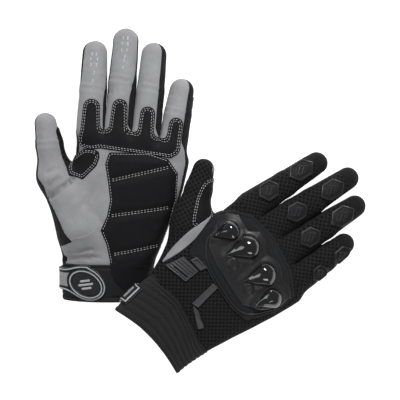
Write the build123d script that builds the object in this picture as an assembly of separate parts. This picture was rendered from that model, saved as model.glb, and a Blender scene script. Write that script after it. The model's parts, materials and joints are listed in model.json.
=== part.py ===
from build123d import *
import os
from math import cos, radians, sin

# A pair of motorcycle riding gloves, millimetres, +Z up, resting on the plane z = 0.
# Each glove is drawn once as a right hand in its own glove frame: x across the hand with the thumb at -x,
# y along the hand towards the fingertips with y = 0 at the wrist, z out of the back of the hand.
# The right glove lies back up. The left glove is its mirror image, and lies palm up.

# ---- driving dimensions ----
WALL = 2.0             # fabric, foam and lining together
SEWN_GAP = 0.12        # clearance between a sewn panel and what lies under it
JOINT_GAP = 0.8        # clearance between a finger stall and the part it bends in
SIDE_SEAM_GAP = 0.2    # gap between the palm panel and the back panel at the side seam
FINGER_BEND = 85.0     # flexion of each finger joint, degrees
THUMB_BEND = (40.0, 60.0)  # flexion of the thumb's base and tip, degrees
STRAP_SWING = 150.0    # how far the wrist strap peels open, degrees
LIFT_OFF = 150.0       # travel that takes the right glove clear of the left one

# Hand form from the cuff's mouth to the finger roots: y, centre x, half width, half thickness.
HAND_SECTIONS = (
    (-36, -9, 42, 10.5),
    (-5, -11, 39, 12),
    (22, -7, 46, 14.5),
    (55, 3, 48, 15.5),
    (88, 10.5, 49.5, 14.5),
    (112, 12, 49, 13),
)
CUFF_SEAM = -5         # y where the elastic cuff is sewn to the hand
ROOT_LINE = 111        # y where the hand ends at the index, middle and ring fingers
PINKY_ROOT = (36, 98)  # corner of the step down to the little finger: x, y

# Fingers: root hinge x and y, root to middle joint, middle joint to tip, radius at the root, at the
# middle joint and at the tip, roll of the pads in degrees, and the pads' centres.
FINGERS = {
    "index": dict(x=-24.6, y=116.5, base=36, tip=47, radii=(11.9, 11.4, 10.4), roll=-22, pads=(19, 18)),
    "middle": dict(x=0, y=118.5, base=42, tip=50, radii=(11.9, 11.5, 10.6), roll=0, pads=(23, 19)),
    "ring": dict(x=24.5, y=115.5, base=37, tip=45, radii=(11.8, 11.2, 10.2), roll=0, pads=(19, 17)),
    "pinky": dict(x=48.3, y=104.5, base=27, tip=34, radii=(11.2, 10.4, 9.4), roll=38, pads=(15, 14)),
}
THUMB_SIZE = dict(base=30, tip=29, radii=(12.4, 12, 10.8))
THENAR_ROOT = (-29, 27, -4, 14)  # centre and radius of the thumb's ball inside the palm: x, y, z, radius

# How each glove lies: origin, then heading, pitch and roll in degrees. Breadth is how much wider it lies
# than its form. The leans of its fingers and thumb towards +x and the fingers' droop are in degrees.
GLOVES = {
    "left": dict(origin=(-73.7, -54.2, 15.8), heading=0, pitch=7.5, roll=0, mirrored=True, breadth=1.0,
                 leans=dict(index=2.5, middle=4.3, ring=5.8, pinky=9.5, thumb=-8),
                 thumb_root=(-58.5, 75), droop=(-12, -3)),
    "right": dict(origin=(-21.0, -105.2, 31.5), heading=-46, pitch=-3.5, roll=6.5, mirrored=False, breadth=1.06,
                  leans=dict(index=11.5, middle=12.8, ring=12, pinky=8, thumb=-30),
                  thumb_root=(-55, 66), droop=(2, 4)),
}

# Panel thickness, measured outwards from the hand form: inner face, outer face.
REINFORCEMENT = (SEWN_GAP, 1.6)
HEEL_PAD = (SEWN_GAP, 3.4)
SURROUND = (SEWN_GAP, 2.0)
GUARD = (2.15, 4.6)
MOULDING = (SEWN_GAP, 2.4)
LOOP_TAPE = (SEWN_GAP, 1.2)
HOOK_TAPE = (1.35, 2.4)
STRAP = (2.5, 4.3)
BADGE = (4.4, 6.8)
PAD = (SEWN_GAP, 2.4)

# Knuckle domes of the guard: x, y, half width, half length, height above the guard.
DOMES = ((-25, 86, 9, 13, 7), (-4, 89, 10.5, 14, 8), (21, 83, 10.5, 14, 8), (42, 74, 9.5, 12, 6.5))
DOME_WALL = 2.2

STRAP_EDGE_X = -51     # the cuff's thumb side edge, where the strap is sewn
STRAP_MIDDLE_Y = -16
BADGE_CENTRE = (-29, -19)
BADGE_RADII = (15.5, 12.5)
BADGE_TILT = -28


# ---- the glove's forms ----
def hand_form(breadth, offset, reach=0.0):
    """The hand from cuff to finger roots, grown outwards by offset; reach lengthens both ends."""
    last = len(HAND_SECTIONS) - 1
    rings = []
    for i, (y, centre, half_width, half_thickness) in enumerate(HAND_SECTIONS):
        end = -reach if i == 0 else reach if i == last else 0
        plane = Plane(origin=(centre * breadth, y + end, 0), x_dir=(1, 0, 0), z_dir=(0, -1, 0))
        rings.append(plane * Ellipse(half_width * breadth + offset, half_thickness + offset))
    return loft(rings)


def heading_frame(x, y, lean):
    """Frame at a hinge: y along the stall, which leans towards +x by lean degrees."""
    return Location((x, y, 0), (0, 0, -lean))


def tapered_rod(start_radius, end_radius, length, start=0.0):
    """A cone along +y from y = start, length long."""
    if start_radius == end_radius:
        rod = Cylinder(start_radius, length)
    else:
        rod = Cone(start_radius, end_radius, length)
    return Pos(0, start + length / 2, 0) * Rot(-90, 0, 0) * rod


def bend_room(radius):
    """What a bending stall sweeps at its hinge, with clearance: a ball, and a post to the palm side."""
    clear = radius + JOINT_GAP
    post = Pos(0, 0, -25) * Cylinder(clear, 50)
    ahead = tapered_rod(clear, clear, 30)
    return Sphere(clear) + post + ahead


def stall_root(radius, end_radius, length):
    """Outside of a stall's first part: a ball at the hinge and the cone that grows from it."""
    return Sphere(radius) + tapered_rod(radius, end_radius, length)


def stall_hollow(radius, end_radius, length):
    """The finger's room inside a stall, open through the ball."""
    slope = (end_radius - radius) / length
    inner = radius - WALL
    return tapered_rod(inner - slope * radius, inner + slope * length, length + radius, start=-radius)


def thenar_form(glove, offset):
    """The ball of the thumb: a cone from inside the palm to the thumb's hinge."""
    root = Vector(*THENAR_ROOT[:3])
    root_radius = THENAR_ROOT[3] + offset
    reach = Vector(*glove["thumb_root"], 0) - root
    end_radius = THUMB_SIZE["radii"][0] + 0.4 + offset
    cone = Plane(origin=root, z_dir=reach) * Pos(0, 0, reach.length / 2) * Cone(root_radius, end_radius, reach.length)
    return cone + Pos(root) * Sphere(root_radius)


def root_frame(glove, finger):
    """Frame at the root hinge of a finger or the thumb."""
    if finger == "thumb":
        x, y = glove["thumb_root"]
    else:
        x, y = FINGERS[finger]["x"] * glove["breadth"], FINGERS[finger]["y"]
    return heading_frame(x, y, glove["leans"][finger])


def finger_room(glove):
    """Everything the four bending fingers need clear of the hand."""
    room = Pos(PINKY_ROOT[0] * glove["breadth"] + 25, PINKY_ROOT[1] + 25, 0) * Box(50, 50, 80)
    for finger, size in FINGERS.items():
        room += root_frame(glove, finger) * bend_room(size["radii"][0])
    return room


def layer(glove, faces, outline, side):
    """A sewn panel: between two offsets of the hand form, inside an outline, on the palm or the back."""
    inner, outer = faces
    depth = 60
    block = extrude(outline, amount=depth)
    if side == "palm":
        block = Pos(0, 0, -depth - 1) * block
    else:
        block = Pos(0, 0, 1) * block
    breadth = glove["breadth"]
    return (hand_form(breadth, outer) & block) - hand_form(breadth, inner)


def rounded_outline(points, radius, breadth=1.0):
    """A closed outline with every corner rounded, widened with the hand."""
    face = make_face(Polyline(*[(x * breadth, y) for x, y in points], close=True))
    return fillet(face.vertices(), radius)


# ---- hand parts ----
def hand_shell(glove):
    breadth = glove["breadth"]
    outside = hand_form(breadth, 0) + thenar_form(glove, 0)
    inside = hand_form(breadth, -WALL, reach=1) + thenar_form(glove, -WALL)
    shell = outside - inside
    shell -= root_frame(glove, "thumb") * bend_room(THUMB_SIZE["radii"][0])
    shell -= finger_room(glove)
    body = Pos(0, CUFF_SEAM + SEWN_GAP + 60, 0) * Box(200, 120, 80)
    return shell & body


def half_shell(shell, side):
    """The palm or back half of the shell, cut at the side seam, without crumbs."""
    sign = 1 if side == "back" else -1
    half = shell & (Pos(0, 0, sign * (30 + SIDE_SEAM_GAP / 2)) * Box(300, 400, 60))
    return max(half.solids(), key=lambda s: s.volume)


def palm_reinforcement(glove):
    """Two black patches: the bar under the finger roots and the patch in the thumb's crotch."""
    breadth = glove["breadth"]
    bar = rounded_outline([(-35, 88), (-35, 116), (52, 116), (57, 82), (50, 80)], 3, breadth)
    patch = rounded_outline([(-40, 62), (-34, 83), (-21, 86), (-18, 80), (-31, 62)], 3, breadth)
    patches = [layer(glove, REINFORCEMENT, outline, "palm") for outline in (bar, patch)]
    clear = finger_room(glove) + thenar_form(glove, SEWN_GAP)
    return patches[0] + patches[1] - clear


def heel_pad(glove):
    outline = rounded_outline(
        [(-5, 77), (44, 72), (48, 52), (30, -3), (4, -3), (-1, 20), (-9, 36), (-1, 54), (-9, 70)],
        2.5, glove["breadth"])
    return layer(glove, HEEL_PAD, outline, "palm")


def knuckle_surround(glove):
    outline = rounded_outline(
        [(-23, 50), (-36, 68), (-38, 90), (-24, 108), (6, 110), (28, 104), (36, 94), (54, 84), (54, 62),
         (42, 42), (28, 39)], 4, glove["breadth"])
    clear = finger_room(glove) + thenar_form(glove, SEWN_GAP)
    return layer(glove, SURROUND, outline, "back") - clear


def guard_outline(breadth):
    plate = rounded_outline(
        [(-33, 69), (-26, 62), (-10, 56), (14, 51), (32, 49), (50, 64), (51, 80), (37, 88), (14, 93), (-12, 95),
         (-33, 92)], 4, breadth)
    for x, y, half_width, half_length, _ in DOMES:
        plate += Pos(x * breadth, y) * Ellipse(half_width + 2, half_length + 1)
    return plate


def knuckle_guard(glove):
    """Hard shell with four hollow domes over the knuckles."""
    breadth = glove["breadth"]
    shell = layer(glove, GUARD, guard_outline(breadth), "back")
    for x, y, half_width, half_length, height in DOMES:
        top = dome_seat(x, y) + height
        outer = dome(x * breadth, y, half_width, half_length, top)
        inner = dome(x * breadth, y, half_width - DOME_WALL, half_length - DOME_WALL, top - DOME_WALL)
        shell = shell + outer - inner
    shell -= hand_form(breadth, GUARD[0])
    return max(shell.solids(), key=lambda s: s.volume)


def dome_seat(x, y):
    """Height of the guard's outer face above the glove's middle plane at x, y."""
    lower, upper = [(a, b) for a, b in zip(HAND_SECTIONS, HAND_SECTIONS[1:]) if a[0] <= y <= b[0]][0]
    share = (y - lower[0]) / (upper[0] - lower[0])
    _, centre, half_width, half_thickness = [p + (q - p) * share for p, q in zip(lower, upper)]
    across = (x - centre) / (half_width + GUARD[1])
    return (half_thickness + GUARD[1]) * (1 - across ** 2) ** 0.5


def dome(x, y, half_width, half_length, top):
    """Upper half of an ellipsoid that stands on the glove's middle plane."""
    ball = scale(Sphere(1), by=(half_width, half_length, top))
    return Pos(x, y, 0) * ball & Pos(x, y, 50.5) * Box(80, 80, 101)


def cuff_band(glove):
    breadth = glove["breadth"]
    shell = hand_form(breadth, 0) - hand_form(breadth, -WALL, reach=1)
    start = HAND_SECTIONS[0][0]
    length = CUFF_SEAM - SEWN_GAP - start
    return shell & (Pos(0, start + length / 2, 0) * Box(200, length, 80))


def wrist_mouldings(glove):
    """Four moulded trims on the back of the wrist: a ribbed plate, a small plate, two bars of an angle."""
    breadth = glove["breadth"]
    outlines = [
        rounded_outline([(-42, 25), (-37, 43), (-24, 38), (-28, 23)], 1.5, breadth),
        rounded_outline([(-32, 47), (-28, 53), (-17, 46), (-20, 40)], 1.2, breadth),
        rounded_outline([(-1.5, 18), (-1.5, 43), (3, 43), (3.5, 19)], 1, breadth),
        rounded_outline([(1, 16.5), (6, 16.5), (19, 10), (17, 6)], 1, breadth),
    ]
    clear = thenar_form(glove, SEWN_GAP)
    return [layer(glove, MOULDING, outline, "back") - clear for outline in outlines]


# ---- wrist strap ----
def strap_outline():
    start = STRAP_EDGE_X - 8
    tab = Pos((start + BADGE_CENTRE[0]) / 2, STRAP_MIDDLE_Y) * Rectangle(BADGE_CENTRE[0] - start, 20)
    return tab + badge_outline(1.8)


def badge_outline(grow=0.0):
    oval = Ellipse(BADGE_RADII[0] + grow, BADGE_RADII[1] + grow)
    return Pos(*BADGE_CENTRE) * Rot(0, 0, BADGE_TILT) * oval


def strap(glove):
    return layer(glove, STRAP, strap_outline(), "palm")


def strap_badge(glove):
    """Oval plate with a raised rim."""
    rim = badge_outline() - badge_outline(-2.2)
    low = (BADGE[0], BADGE[0] + 1.6)
    return layer(glove, low, badge_outline(-0.6), "palm") + layer(glove, BADGE, rim, "palm")


def hook_patch(glove):
    return layer(glove, HOOK_TAPE, Pos(-31, -18) * Rectangle(18, 15), "palm")


def loop_patch(glove):
    return layer(glove, LOOP_TAPE, Pos(-19, -18) * Rectangle(46, 22), "palm")


# ---- fingers ----
def proximal_shell(size):
    """Tube from the root hinge to the middle joint, scalloped so that the next part can bend."""
    root, middle, _ = size["radii"]
    tube = stall_root(root, middle, size["base"]) - stall_hollow(root, middle, size["base"])
    return tube - Pos(0, size["base"], 0) * bend_room(middle)


def distal_shell(size):
    """Closed tube from the middle joint to the fingertip."""
    _, middle, end = size["radii"]
    length = size["tip"] - end
    outside = stall_root(middle, end, length) + Pos(0, length, 0) * Sphere(end)
    inside = stall_hollow(middle, end, length) + Pos(0, length, 0) * Sphere(end - WALL)
    return outside - inside


def finger_pad(start_radius, end_radius, length, centre, roll):
    """Six sided rubber pad moulded to the back of a stall."""
    half_length, half_width = 10, 7.2
    outline = rounded_outline(
        [(0, -half_length), (half_width, -half_length * 0.45), (half_width, half_length * 0.5),
         (0, half_length), (-half_width, half_length * 0.5), (-half_width, -half_length * 0.45)], 1.2)
    inner, outer = PAD
    wall = tapered_rod(start_radius + outer, end_radius + outer, length) - tapered_rod(
        start_radius + inner, end_radius + inner, length)
    pad = wall & (Pos(0, centre, 1) * extrude(outline, amount=40))
    return Rot(0, roll, 0) * pad


def finger_parts(size):
    """The four parts of one finger, each in the frame of its own hinge, straight along +y."""
    root, middle, end = size["radii"]
    near, far = size["pads"]
    return {
        "proximal_shell": proximal_shell(size),
        "distal_shell": distal_shell(size),
        "proximal_pad": finger_pad(root, middle, size["base"], near, size["roll"]),
        "distal_pad": finger_pad(middle, end, size["tip"] - end, far, size["roll"]),
    }


# ---- placing ----
def stall_frames(glove, finger):
    """Frames of a stall's two hinges; droop bends a finger at rest, so that its tip hangs to the palm side."""
    size, droop = (THUMB_SIZE, (0, 0)) if finger == "thumb" else (FINGERS[finger], glove["droop"])
    root = root_frame(glove, finger) * Rot(-droop[0], 0, 0)
    middle = root * Pos(0, size["base"], 0) * Rot(-droop[1], 0, 0)
    return root, middle


def glove_frame(glove):
    """Where the glove frame lies in the pair's frame, before the left glove's mirroring."""
    return (Pos(*glove["origin"]) * Rot(0, 0, glove["heading"]) * Rot(glove["pitch"], 0, 0)
            * Rot(0, glove["roll"], 0))


def place(shape, glove):
    """Moves a part from the glove frame to the pair's frame."""
    if glove["mirrored"]:
        shape = mirror(shape, about=Plane.XY)
    return glove_frame(glove) * shape


def glove_parts(glove):
    """Every part of one glove in the glove frame, by name."""
    shell = hand_shell(glove)
    parts = {
        "palm_panel": half_shell(shell, "palm"),
        "back_panel": half_shell(shell, "back"),
        "palm_reinforcement": palm_reinforcement(glove),
        "heel_pad": heel_pad(glove),
        "knuckle_surround": knuckle_surround(glove),
        "knuckle_guard": knuckle_guard(glove),
        "cuff_band": cuff_band(glove),
        "wrist_mouldings": Compound([s for m in wrist_mouldings(glove) for s in m.solids()]),
        "strap": strap(glove),
        "strap_badge": strap_badge(glove),
        "hook_patch": hook_patch(glove),
        "loop_patch": loop_patch(glove),
    }
    for finger, size in FINGERS.items():
        root, middle = stall_frames(glove, finger)
        for part, shape in finger_parts(size).items():
            parts[f"{finger}_{part}"] = (root if part.startswith("proximal") else middle) * shape
    root, middle = stall_frames(glove, "thumb")
    parts["thumb_proximal_shell"] = root * proximal_shell(THUMB_SIZE)
    parts["thumb_distal_shell"] = middle * distal_shell(THUMB_SIZE)
    return parts


def build_pair():
    pair = {}
    for side, glove in GLOVES.items():
        for name, shape in glove_parts(glove).items():
            pair[f"{side}_{name}"] = place(shape, glove)
    return pair


if __name__ == "__main__":
    os.makedirs("parts", exist_ok=True)
    for node, shape in build_pair().items():
        export_step(Compound(list(shape.solids())), f"parts/{node}.step")
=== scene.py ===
import json
import math

import bpy
import numpy as np
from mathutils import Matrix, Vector


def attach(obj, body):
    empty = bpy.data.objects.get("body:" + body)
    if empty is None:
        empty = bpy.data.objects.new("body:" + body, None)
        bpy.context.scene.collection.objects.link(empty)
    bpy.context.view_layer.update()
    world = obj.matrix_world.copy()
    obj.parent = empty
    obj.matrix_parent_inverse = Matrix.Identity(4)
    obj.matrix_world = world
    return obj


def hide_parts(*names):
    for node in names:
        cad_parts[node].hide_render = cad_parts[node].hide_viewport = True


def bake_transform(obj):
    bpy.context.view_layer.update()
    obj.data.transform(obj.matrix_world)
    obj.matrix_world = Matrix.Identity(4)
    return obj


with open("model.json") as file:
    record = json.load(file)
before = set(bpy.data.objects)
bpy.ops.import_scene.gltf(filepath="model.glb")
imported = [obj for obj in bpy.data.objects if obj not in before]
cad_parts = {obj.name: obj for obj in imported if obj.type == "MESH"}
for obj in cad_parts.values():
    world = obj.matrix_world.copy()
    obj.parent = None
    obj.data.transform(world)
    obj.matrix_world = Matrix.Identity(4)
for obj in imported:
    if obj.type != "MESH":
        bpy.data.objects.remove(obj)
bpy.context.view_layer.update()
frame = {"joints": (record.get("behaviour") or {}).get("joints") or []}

# Two riding gloves. Each is modelled in its own glove frame, in millimetres: x across the hand with the thumb
# at -x, y towards the fingertips with 0 at the wrist, z out of the back of the hand. The glove frames, and
# every finger's place in them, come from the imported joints. The left glove lies mirrored, palm up.
MM = 0.001
NET_STEP = 1.5     # spacing of the skin's mesh
FINE_STEP = 0.55   # spacing of the moulded parts' meshes
WALL = 1.7                                # fabric and lining
ABOVE_HAND = 17.0                         # a height that clears the hand on both faces
ABOVE_STALL = 13.0                        # the same for a stall
HAND_POWER = 2.25                         # of the hand form's rounded rings; 2 would make ellipses

# Hand form: y, centre x, half width, half thickness on the back, half thickness on the palm.
HAND_RINGS = np.array([
    (-52, -9, 42, 10.5, 10.5),
    (-36, -9, 42, 10.5, 10.5),
    (-20, -10, 40.6, 11, 11),
    (-5, -11, 39.5, 12, 12),
    (22, -6.2, 46.8, 13.8, 14.5),
    (55, 5.1, 50.4, 14.6, 15.5),
    (88, 12.1, 51.1, 13.8, 14.3),
    (112, 13.5, 50.5, 12, 12.4),
    (140, 13, 48, 11, 11),
])
# The right wrist lies narrower on its thumb side.
RIGHT_WRIST = np.array([
    (-52, -4.2, 37.3, 10.5, 10.5),
    (-36, -4.2, 37.3, 10.5, 10.5),
    (-20, -3.6, 37.9, 11, 11),
    (-5, -2.1, 39.4, 12, 12),
    (22, 1.5, 43.5, 13.8, 14.5),
])
# Where the hand form ends under the fingers: x, y.
FINGER_LINE = np.array([(-40, 109), (-24, 113), (0, 115), (25, 112), (48, 100.5), (62, 96)])
FINGERS = {
    "index": dict(root=(-24.6, 116.5), tip=45.4, roll=-22, pads=(19, 18), suede=((-92, -62), (58, 92))),
    "middle": dict(root=(0, 118.5), tip=49.2, roll=0, pads=(23, 19), suede=((-78, -76), (42, 76))),
    "ring": dict(root=(24.5, 115.5), tip=44, roll=0, pads=(19, 17), suede=((-92, -92), (42, 44))),
    "pinky": dict(root=(48.3, 104.5), tip=32.6, roll=38, pads=(15, 14), suede=((-92, -92), (38, 44))),
}
# Half width and half thickness at the root, the middle joint and the tip.
STALL_SIZES = {
    "index": ((13.5, 11.2), (12.4, 10.8), (11.3, 9.6)),
    "middle": ((13.8, 11.2), (12.5, 10.8), (11.4, 9.7)),
    "ring": ((13.6, 11.0), (12.4, 10.6), (11.2, 9.5)),
    "pinky": ((13.0, 10.6), (12.5, 10.2), (10.9, 9.1)),
    "thumb": ((13.0, 12.6), (12.2, 11.2), (10.0, 9.0)),
}
THUMB = dict(tip=28, suede=((-62, -70), (58, 58)))
# The ball of the thumb: centre, radius there and at the thumb's root, and how softly the thumb runs into the
# hand.
THENAR = {
    "left": (np.array([-38.0, 30.0, -3.5]), 16.6, 14.0, 10),
    "right": (np.array([-29.0, 27.0, -4.0]), 14.6, 13.2, 16),
}
TIP_DROOP = {"left": -3, "right": 4}      # degrees at the middle joints
# How much wider the stalls lie at the root, the middle joint and the tip.
BROAD = {"left": (1.0, 1.0, 1.0), "right": (1.03, 0.98, 0.88)}
ROOT_CUT = -7.0                           # where a stall's skin starts, from its root hinge
ROOT_SHARE = 0.52                         # how much of the base the root's piece of skin takes up
ROOT_BLEND = (-6.0, 11.0)                 # along the stall, from its root hinge
MIDDLE_BLEND = 9.0                        # to either side of the middle hinge
CUFF_SEAM = -5.0                          # y
CUFF_MOUTH = -36.0


# ---- small tools ----
def unit(v):
    return v / np.linalg.norm(v, axis=-1, keepdims=True)


def ramp(x, low, high):
    """0 below low, 1 above high, smooth in between."""
    t = np.clip((x - low) / (high - low), 0, 1)
    return t * t * (3 - 2 * t)


def smooth_min(a, b, radius):
    h = np.maximum(radius - np.abs(a - b), 0) / radius
    return np.minimum(a, b) - h * h * radius / 4


def smooth_max(a, b, radius):
    return -smooth_min(-a, -b, radius)


def value_noise(points, seed):
    """Smooth noise from -1 to 1 with a period of one unit."""
    lattice = np.random.RandomState(seed).uniform(-1, 1, (32, 32, 32))
    cell = np.floor(points).astype(int)
    t = points - cell
    t = t * t * (3 - 2 * t)
    total = 0
    sides = [(1 - t[:, i], t[:, i]) for i in range(3)]
    places = [(cell[:, i] % 32, (cell[:, i] + 1) % 32) for i in range(3)]
    for a, b, c in np.ndindex(2, 2, 2):
        weight = sides[0][a] * sides[1][b] * sides[2][c]
        total = total + weight * lattice[places[0][a], places[1][b], places[2][c]]
    return total


# ---- outlines: signed distance in the plane, below 0 inside ----
def capsule(x, y, a, b, radius_a, radius_b=None):
    """A bar from a to b with round ends, whose radius may change along it."""
    radius_b = radius_a if radius_b is None else radius_b
    ax, ay = a
    dx, dy = b[0] - ax, b[1] - ay
    t = np.clip(((x - ax) * dx + (y - ay) * dy) / (dx * dx + dy * dy), 0, 1)
    return np.hypot(x - ax - t * dx, y - ay - t * dy) - (radius_a + (radius_b - radius_a) * t)


def polygon(x, y, corners, rounding=0.0):
    """A closed outline through corners, grown outwards by rounding."""
    corners = np.array(corners, float)
    after = np.roll(corners, -1, axis=0)
    distance = np.full(x.shape, 1e9)
    inside = np.zeros(x.shape, bool)
    for (ax, ay), (bx, by) in zip(corners, after):
        dx, dy = bx - ax, by - ay
        t = np.clip(((x - ax) * dx + (y - ay) * dy) / (dx * dx + dy * dy + 1e-9), 0, 1)
        distance = np.minimum(distance, np.hypot(x - ax - t * dx, y - ay - t * dy))
        if ay != by:
            crosses = ((ay > y) != (by > y)) & (x < dx * (y - ay) / dy + ax)
            inside ^= crosses
    return np.where(inside, -distance, distance) - rounding


def ellipse(x, y, centre, radii, tilt=0.0):
    c, s = math.cos(math.radians(tilt)), math.sin(math.radians(tilt))
    u = ((x - centre[0]) * c + (y - centre[1]) * s) / radii[0]
    v = (-(x - centre[0]) * s + (y - centre[1]) * c) / radii[1]
    k = np.hypot(u, v) + 1e-9
    slope = np.hypot(u / radii[0], v / radii[1]) / k + 1e-9
    return (k - 1) / slope


# ---- triangle meshes as rows (x, y, z, normal) and faces ----
def surface_net(field, low, high, step):
    """Triangles on field = 0, with one point per grid cell that the surface crosses."""
    count = np.ceil((high - low) / step).astype(int) + 1
    axes = [low[i] + step * np.arange(count[i]) for i in range(3)]
    grid = np.stack(np.meshgrid(*axes, indexing="ij"), -1)
    value = field(grid.reshape(-1, 3)).reshape(count)
    inside = value < 0
    cells = count - 1
    total = np.zeros((*cells, 3))
    crossings = np.zeros(cells)
    for axis in range(3):
        others = [i for i in range(3) if i != axis]
        for shift in np.ndindex(2, 2):
            start = [slice(0, c) for c in cells]
            end = list(start)
            for o, s in zip(others, shift):
                start[o] = end[o] = slice(s, cells[o] + s)
            end[axis] = slice(1, cells[axis] + 1)
            a, b = value[tuple(start)], value[tuple(end)]
            hit = (a < 0) != (b < 0)
            t = np.where(hit, a / np.where(hit, a - b, 1), 0)
            point = grid[tuple(start)] + (grid[tuple(end)] - grid[tuple(start)]) * t[..., None]
            total += point * hit[..., None]
            crossings += hit
    used = crossings > 0
    number = np.full(cells, -1)
    number[used] = np.arange(used.sum())
    points = total[used] / crossings[used][:, None]
    faces = []
    for axis in range(3):
        b_axis, c_axis = (axis + 1) % 3, (axis + 2) % 3
        inner = [slice(1, c) for c in cells]
        inner[axis] = slice(0, cells[axis])
        ahead = list(inner)
        ahead[axis] = slice(1, cells[axis] + 1)
        a, b = inside[tuple(inner)], inside[tuple(ahead)]
        where = np.argwhere(a != b)
        offset = np.ones(3, int)
        offset[axis] = 0
        cell = where + offset
        corners = []
        for db, dc in ((1, 1), (0, 1), (0, 0), (1, 0)):
            c = cell.copy()
            c[:, b_axis] -= db
            c[:, c_axis] -= dc
            corners.append(number[c[:, 0], c[:, 1], c[:, 2]])
        quad = np.stack(corners, 1)
        flip = ~a[tuple(where.T)]
        quad[flip] = quad[flip][:, ::-1]
        faces += [quad[:, [0, 1, 2]], quad[:, [0, 2, 3]]]
    return points, np.vstack(faces)


def gradient(field, points, reach=0.3):
    slopes = []
    for axis in range(3):
        step = np.zeros(3)
        step[axis] = reach
        slopes.append((field(points + step) - field(points - step)) / (2 * reach))
    return np.stack(slopes, 1)


def settle(field, points, rounds=3):
    """Moves points onto field = 0 and returns rows of points and normals."""
    for _ in range(rounds):
        slope = gradient(field, points)
        points = points - slope * (field(points) / np.maximum((slope ** 2).sum(1), 0.05))[:, None]
    return np.hstack([points, unit(gradient(field, points))])


def cut(rows, faces, value):
    """Splits the triangles that cross value = 0, where value has a number for each point."""
    value = np.where(np.abs(value) < 1e-4, 1e-4, value)
    below = (value < 0)[faces]
    count = below.sum(1)
    crossed = (count == 1) | (count == 2)
    if not crossed.any():
        return rows, faces
    tri, low = faces[crossed], below[crossed]
    lone = np.where((low.sum(1) == 1)[:, None], low, ~low).argmax(1)
    tri = np.take_along_axis(tri, (lone[:, None] + np.arange(3)) % 3, 1)
    edges = np.sort(np.vstack([tri[:, [0, 1]], tri[:, [0, 2]]]), axis=1)
    keys, index = np.unique(edges[:, 0] * len(rows) + edges[:, 1], return_inverse=True)
    a, b = keys // len(rows), keys % len(rows)
    t = value[a] / (value[a] - value[b])
    new = rows[a] + (rows[b] - rows[a]) * t[:, None]
    first, second = len(rows) + index[:len(tri)], len(rows) + index[len(tri):]
    parts = [
        faces[~crossed],
        np.stack([tri[:, 0], first, second], 1),
        np.stack([first, tri[:, 1], tri[:, 2]], 1),
        np.stack([first, tri[:, 2], second], 1),
    ]
    return np.vstack([rows, new]), np.vstack(parts)


def cut_levels(rows, faces, field, levels):
    for level in levels:
        rows, faces = cut(rows, faces, field(rows[:, :3]) - level)
    return rows, faces


def take(rows, faces, keep):
    """The faces that keep marks, with the points they use."""
    faces = faces[keep]
    used = np.unique(faces)
    number = np.zeros(len(rows), int)
    number[used] = np.arange(len(used))
    return rows[used], number[faces]


def middles(rows, faces):
    return rows[faces, :3].mean(1)


def border_edges(faces, count):
    """Directed edges that only one face has."""
    edges = np.vstack([faces[:, [0, 1]], faces[:, [1, 2]], faces[:, [2, 0]]])
    key = edges[:, 0] * count + edges[:, 1]
    back = edges[:, 1] * count + edges[:, 0]
    return edges[~np.isin(key, back)]


def point_normals(points, faces):
    a, b, c = (points[faces[:, i]] for i in range(3))
    flat = np.cross(b - a, c - a)
    total = np.zeros_like(points)
    for i in range(3):
        np.add.at(total, faces[:, i], flat)
    return unit(total + 1e-12)


class Solid:
    """Points, triangles, a normal for each corner and a material number for each triangle."""

    def __init__(self, points, faces, normals, material=0):
        self.points = points
        self.faces = faces
        self.normals = normals
        self.material = np.broadcast_to(material, len(faces)).copy()


def join(solids):
    """One solid from several, or None from none."""
    if not solids:
        return None
    starts = np.cumsum([0, *[len(solid.points) for solid in solids[:-1]]])
    return Solid(
        np.vstack([solid.points for solid in solids]),
        np.vstack([solid.faces + start for solid, start in zip(solids, starts)]),
        np.vstack([solid.normals for solid in solids]),
        np.concatenate([solid.material for solid in solids]),
    )


def tube_faces(rings, sides):
    """Triangles of a tube through rings of points, closed by a fan at each end."""
    faces = []
    for s in range(rings - 1):
        for k in range(sides):
            a, b = s * sides + k, s * sides + (k + 1) % sides
            faces += [(a, a + sides, b + sides), (a, b + sides, b)]
    last = (rings - 1) * sides
    for k in range(1, sides - 1):
        faces += [(0, k, k + 1), (last, last + k + 1, last + k)]
    return np.array(faces)[:, ::-1]


def along_run(points):
    """Distance of each point along a run, from its start."""
    return np.concatenate([[0], np.cumsum(np.linalg.norm(np.diff(points, axis=0), axis=1))])


def outward(points, faces, material=0):
    """A closed solid whose faces are turned to look outwards."""
    p, q, r = ((points - points.mean(0))[faces[:, i]] for i in range(3))
    if np.einsum("ij,ij->", p, np.cross(q, r)) < 0:
        faces = faces[:, ::-1]
    return Solid(points, faces, point_normals(points, faces)[faces].reshape(-1, 3), material)


def layer(rows, faces, outer, inner, keep_normals=False, material=0):
    """Closed solid between two offsets of a patch: outer and inner are heights above its points."""
    count = len(rows)
    top = rows[:, :3] + rows[:, 3:6] * np.broadcast_to(outer, count)[:, None]
    low = rows[:, :3] + rows[:, 3:6] * np.broadcast_to(inner, count)[:, None]
    up = point_normals(top, faces)
    if keep_normals:
        edge = np.unique(border_edges(faces, count))
        up[edge] = rows[edge, 3:6]
    border = border_edges(faces, count)
    a, b = border[:, 0], border[:, 1]
    rim = np.vstack([np.stack([b, a, a + count], 1), np.stack([b, a + count, b + count], 1)])
    points = np.vstack([top, low])
    p, q, r = (points[rim[:, i]] for i in range(3))
    rim_normals = np.repeat(unit(np.cross(q - p, r - p) + 1e-12), 3, axis=0)
    back = faces[:, ::-1] + count
    material = np.broadcast_to(material, len(faces))
    return Solid(
        points,
        np.vstack([faces, back, rim]),
        np.vstack([up[faces].reshape(-1, 3), -up[back - count].reshape(-1, 3), rim_normals]),
        np.concatenate([material, material, np.broadcast_to(material[:1], len(rim))]),
    )


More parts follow.
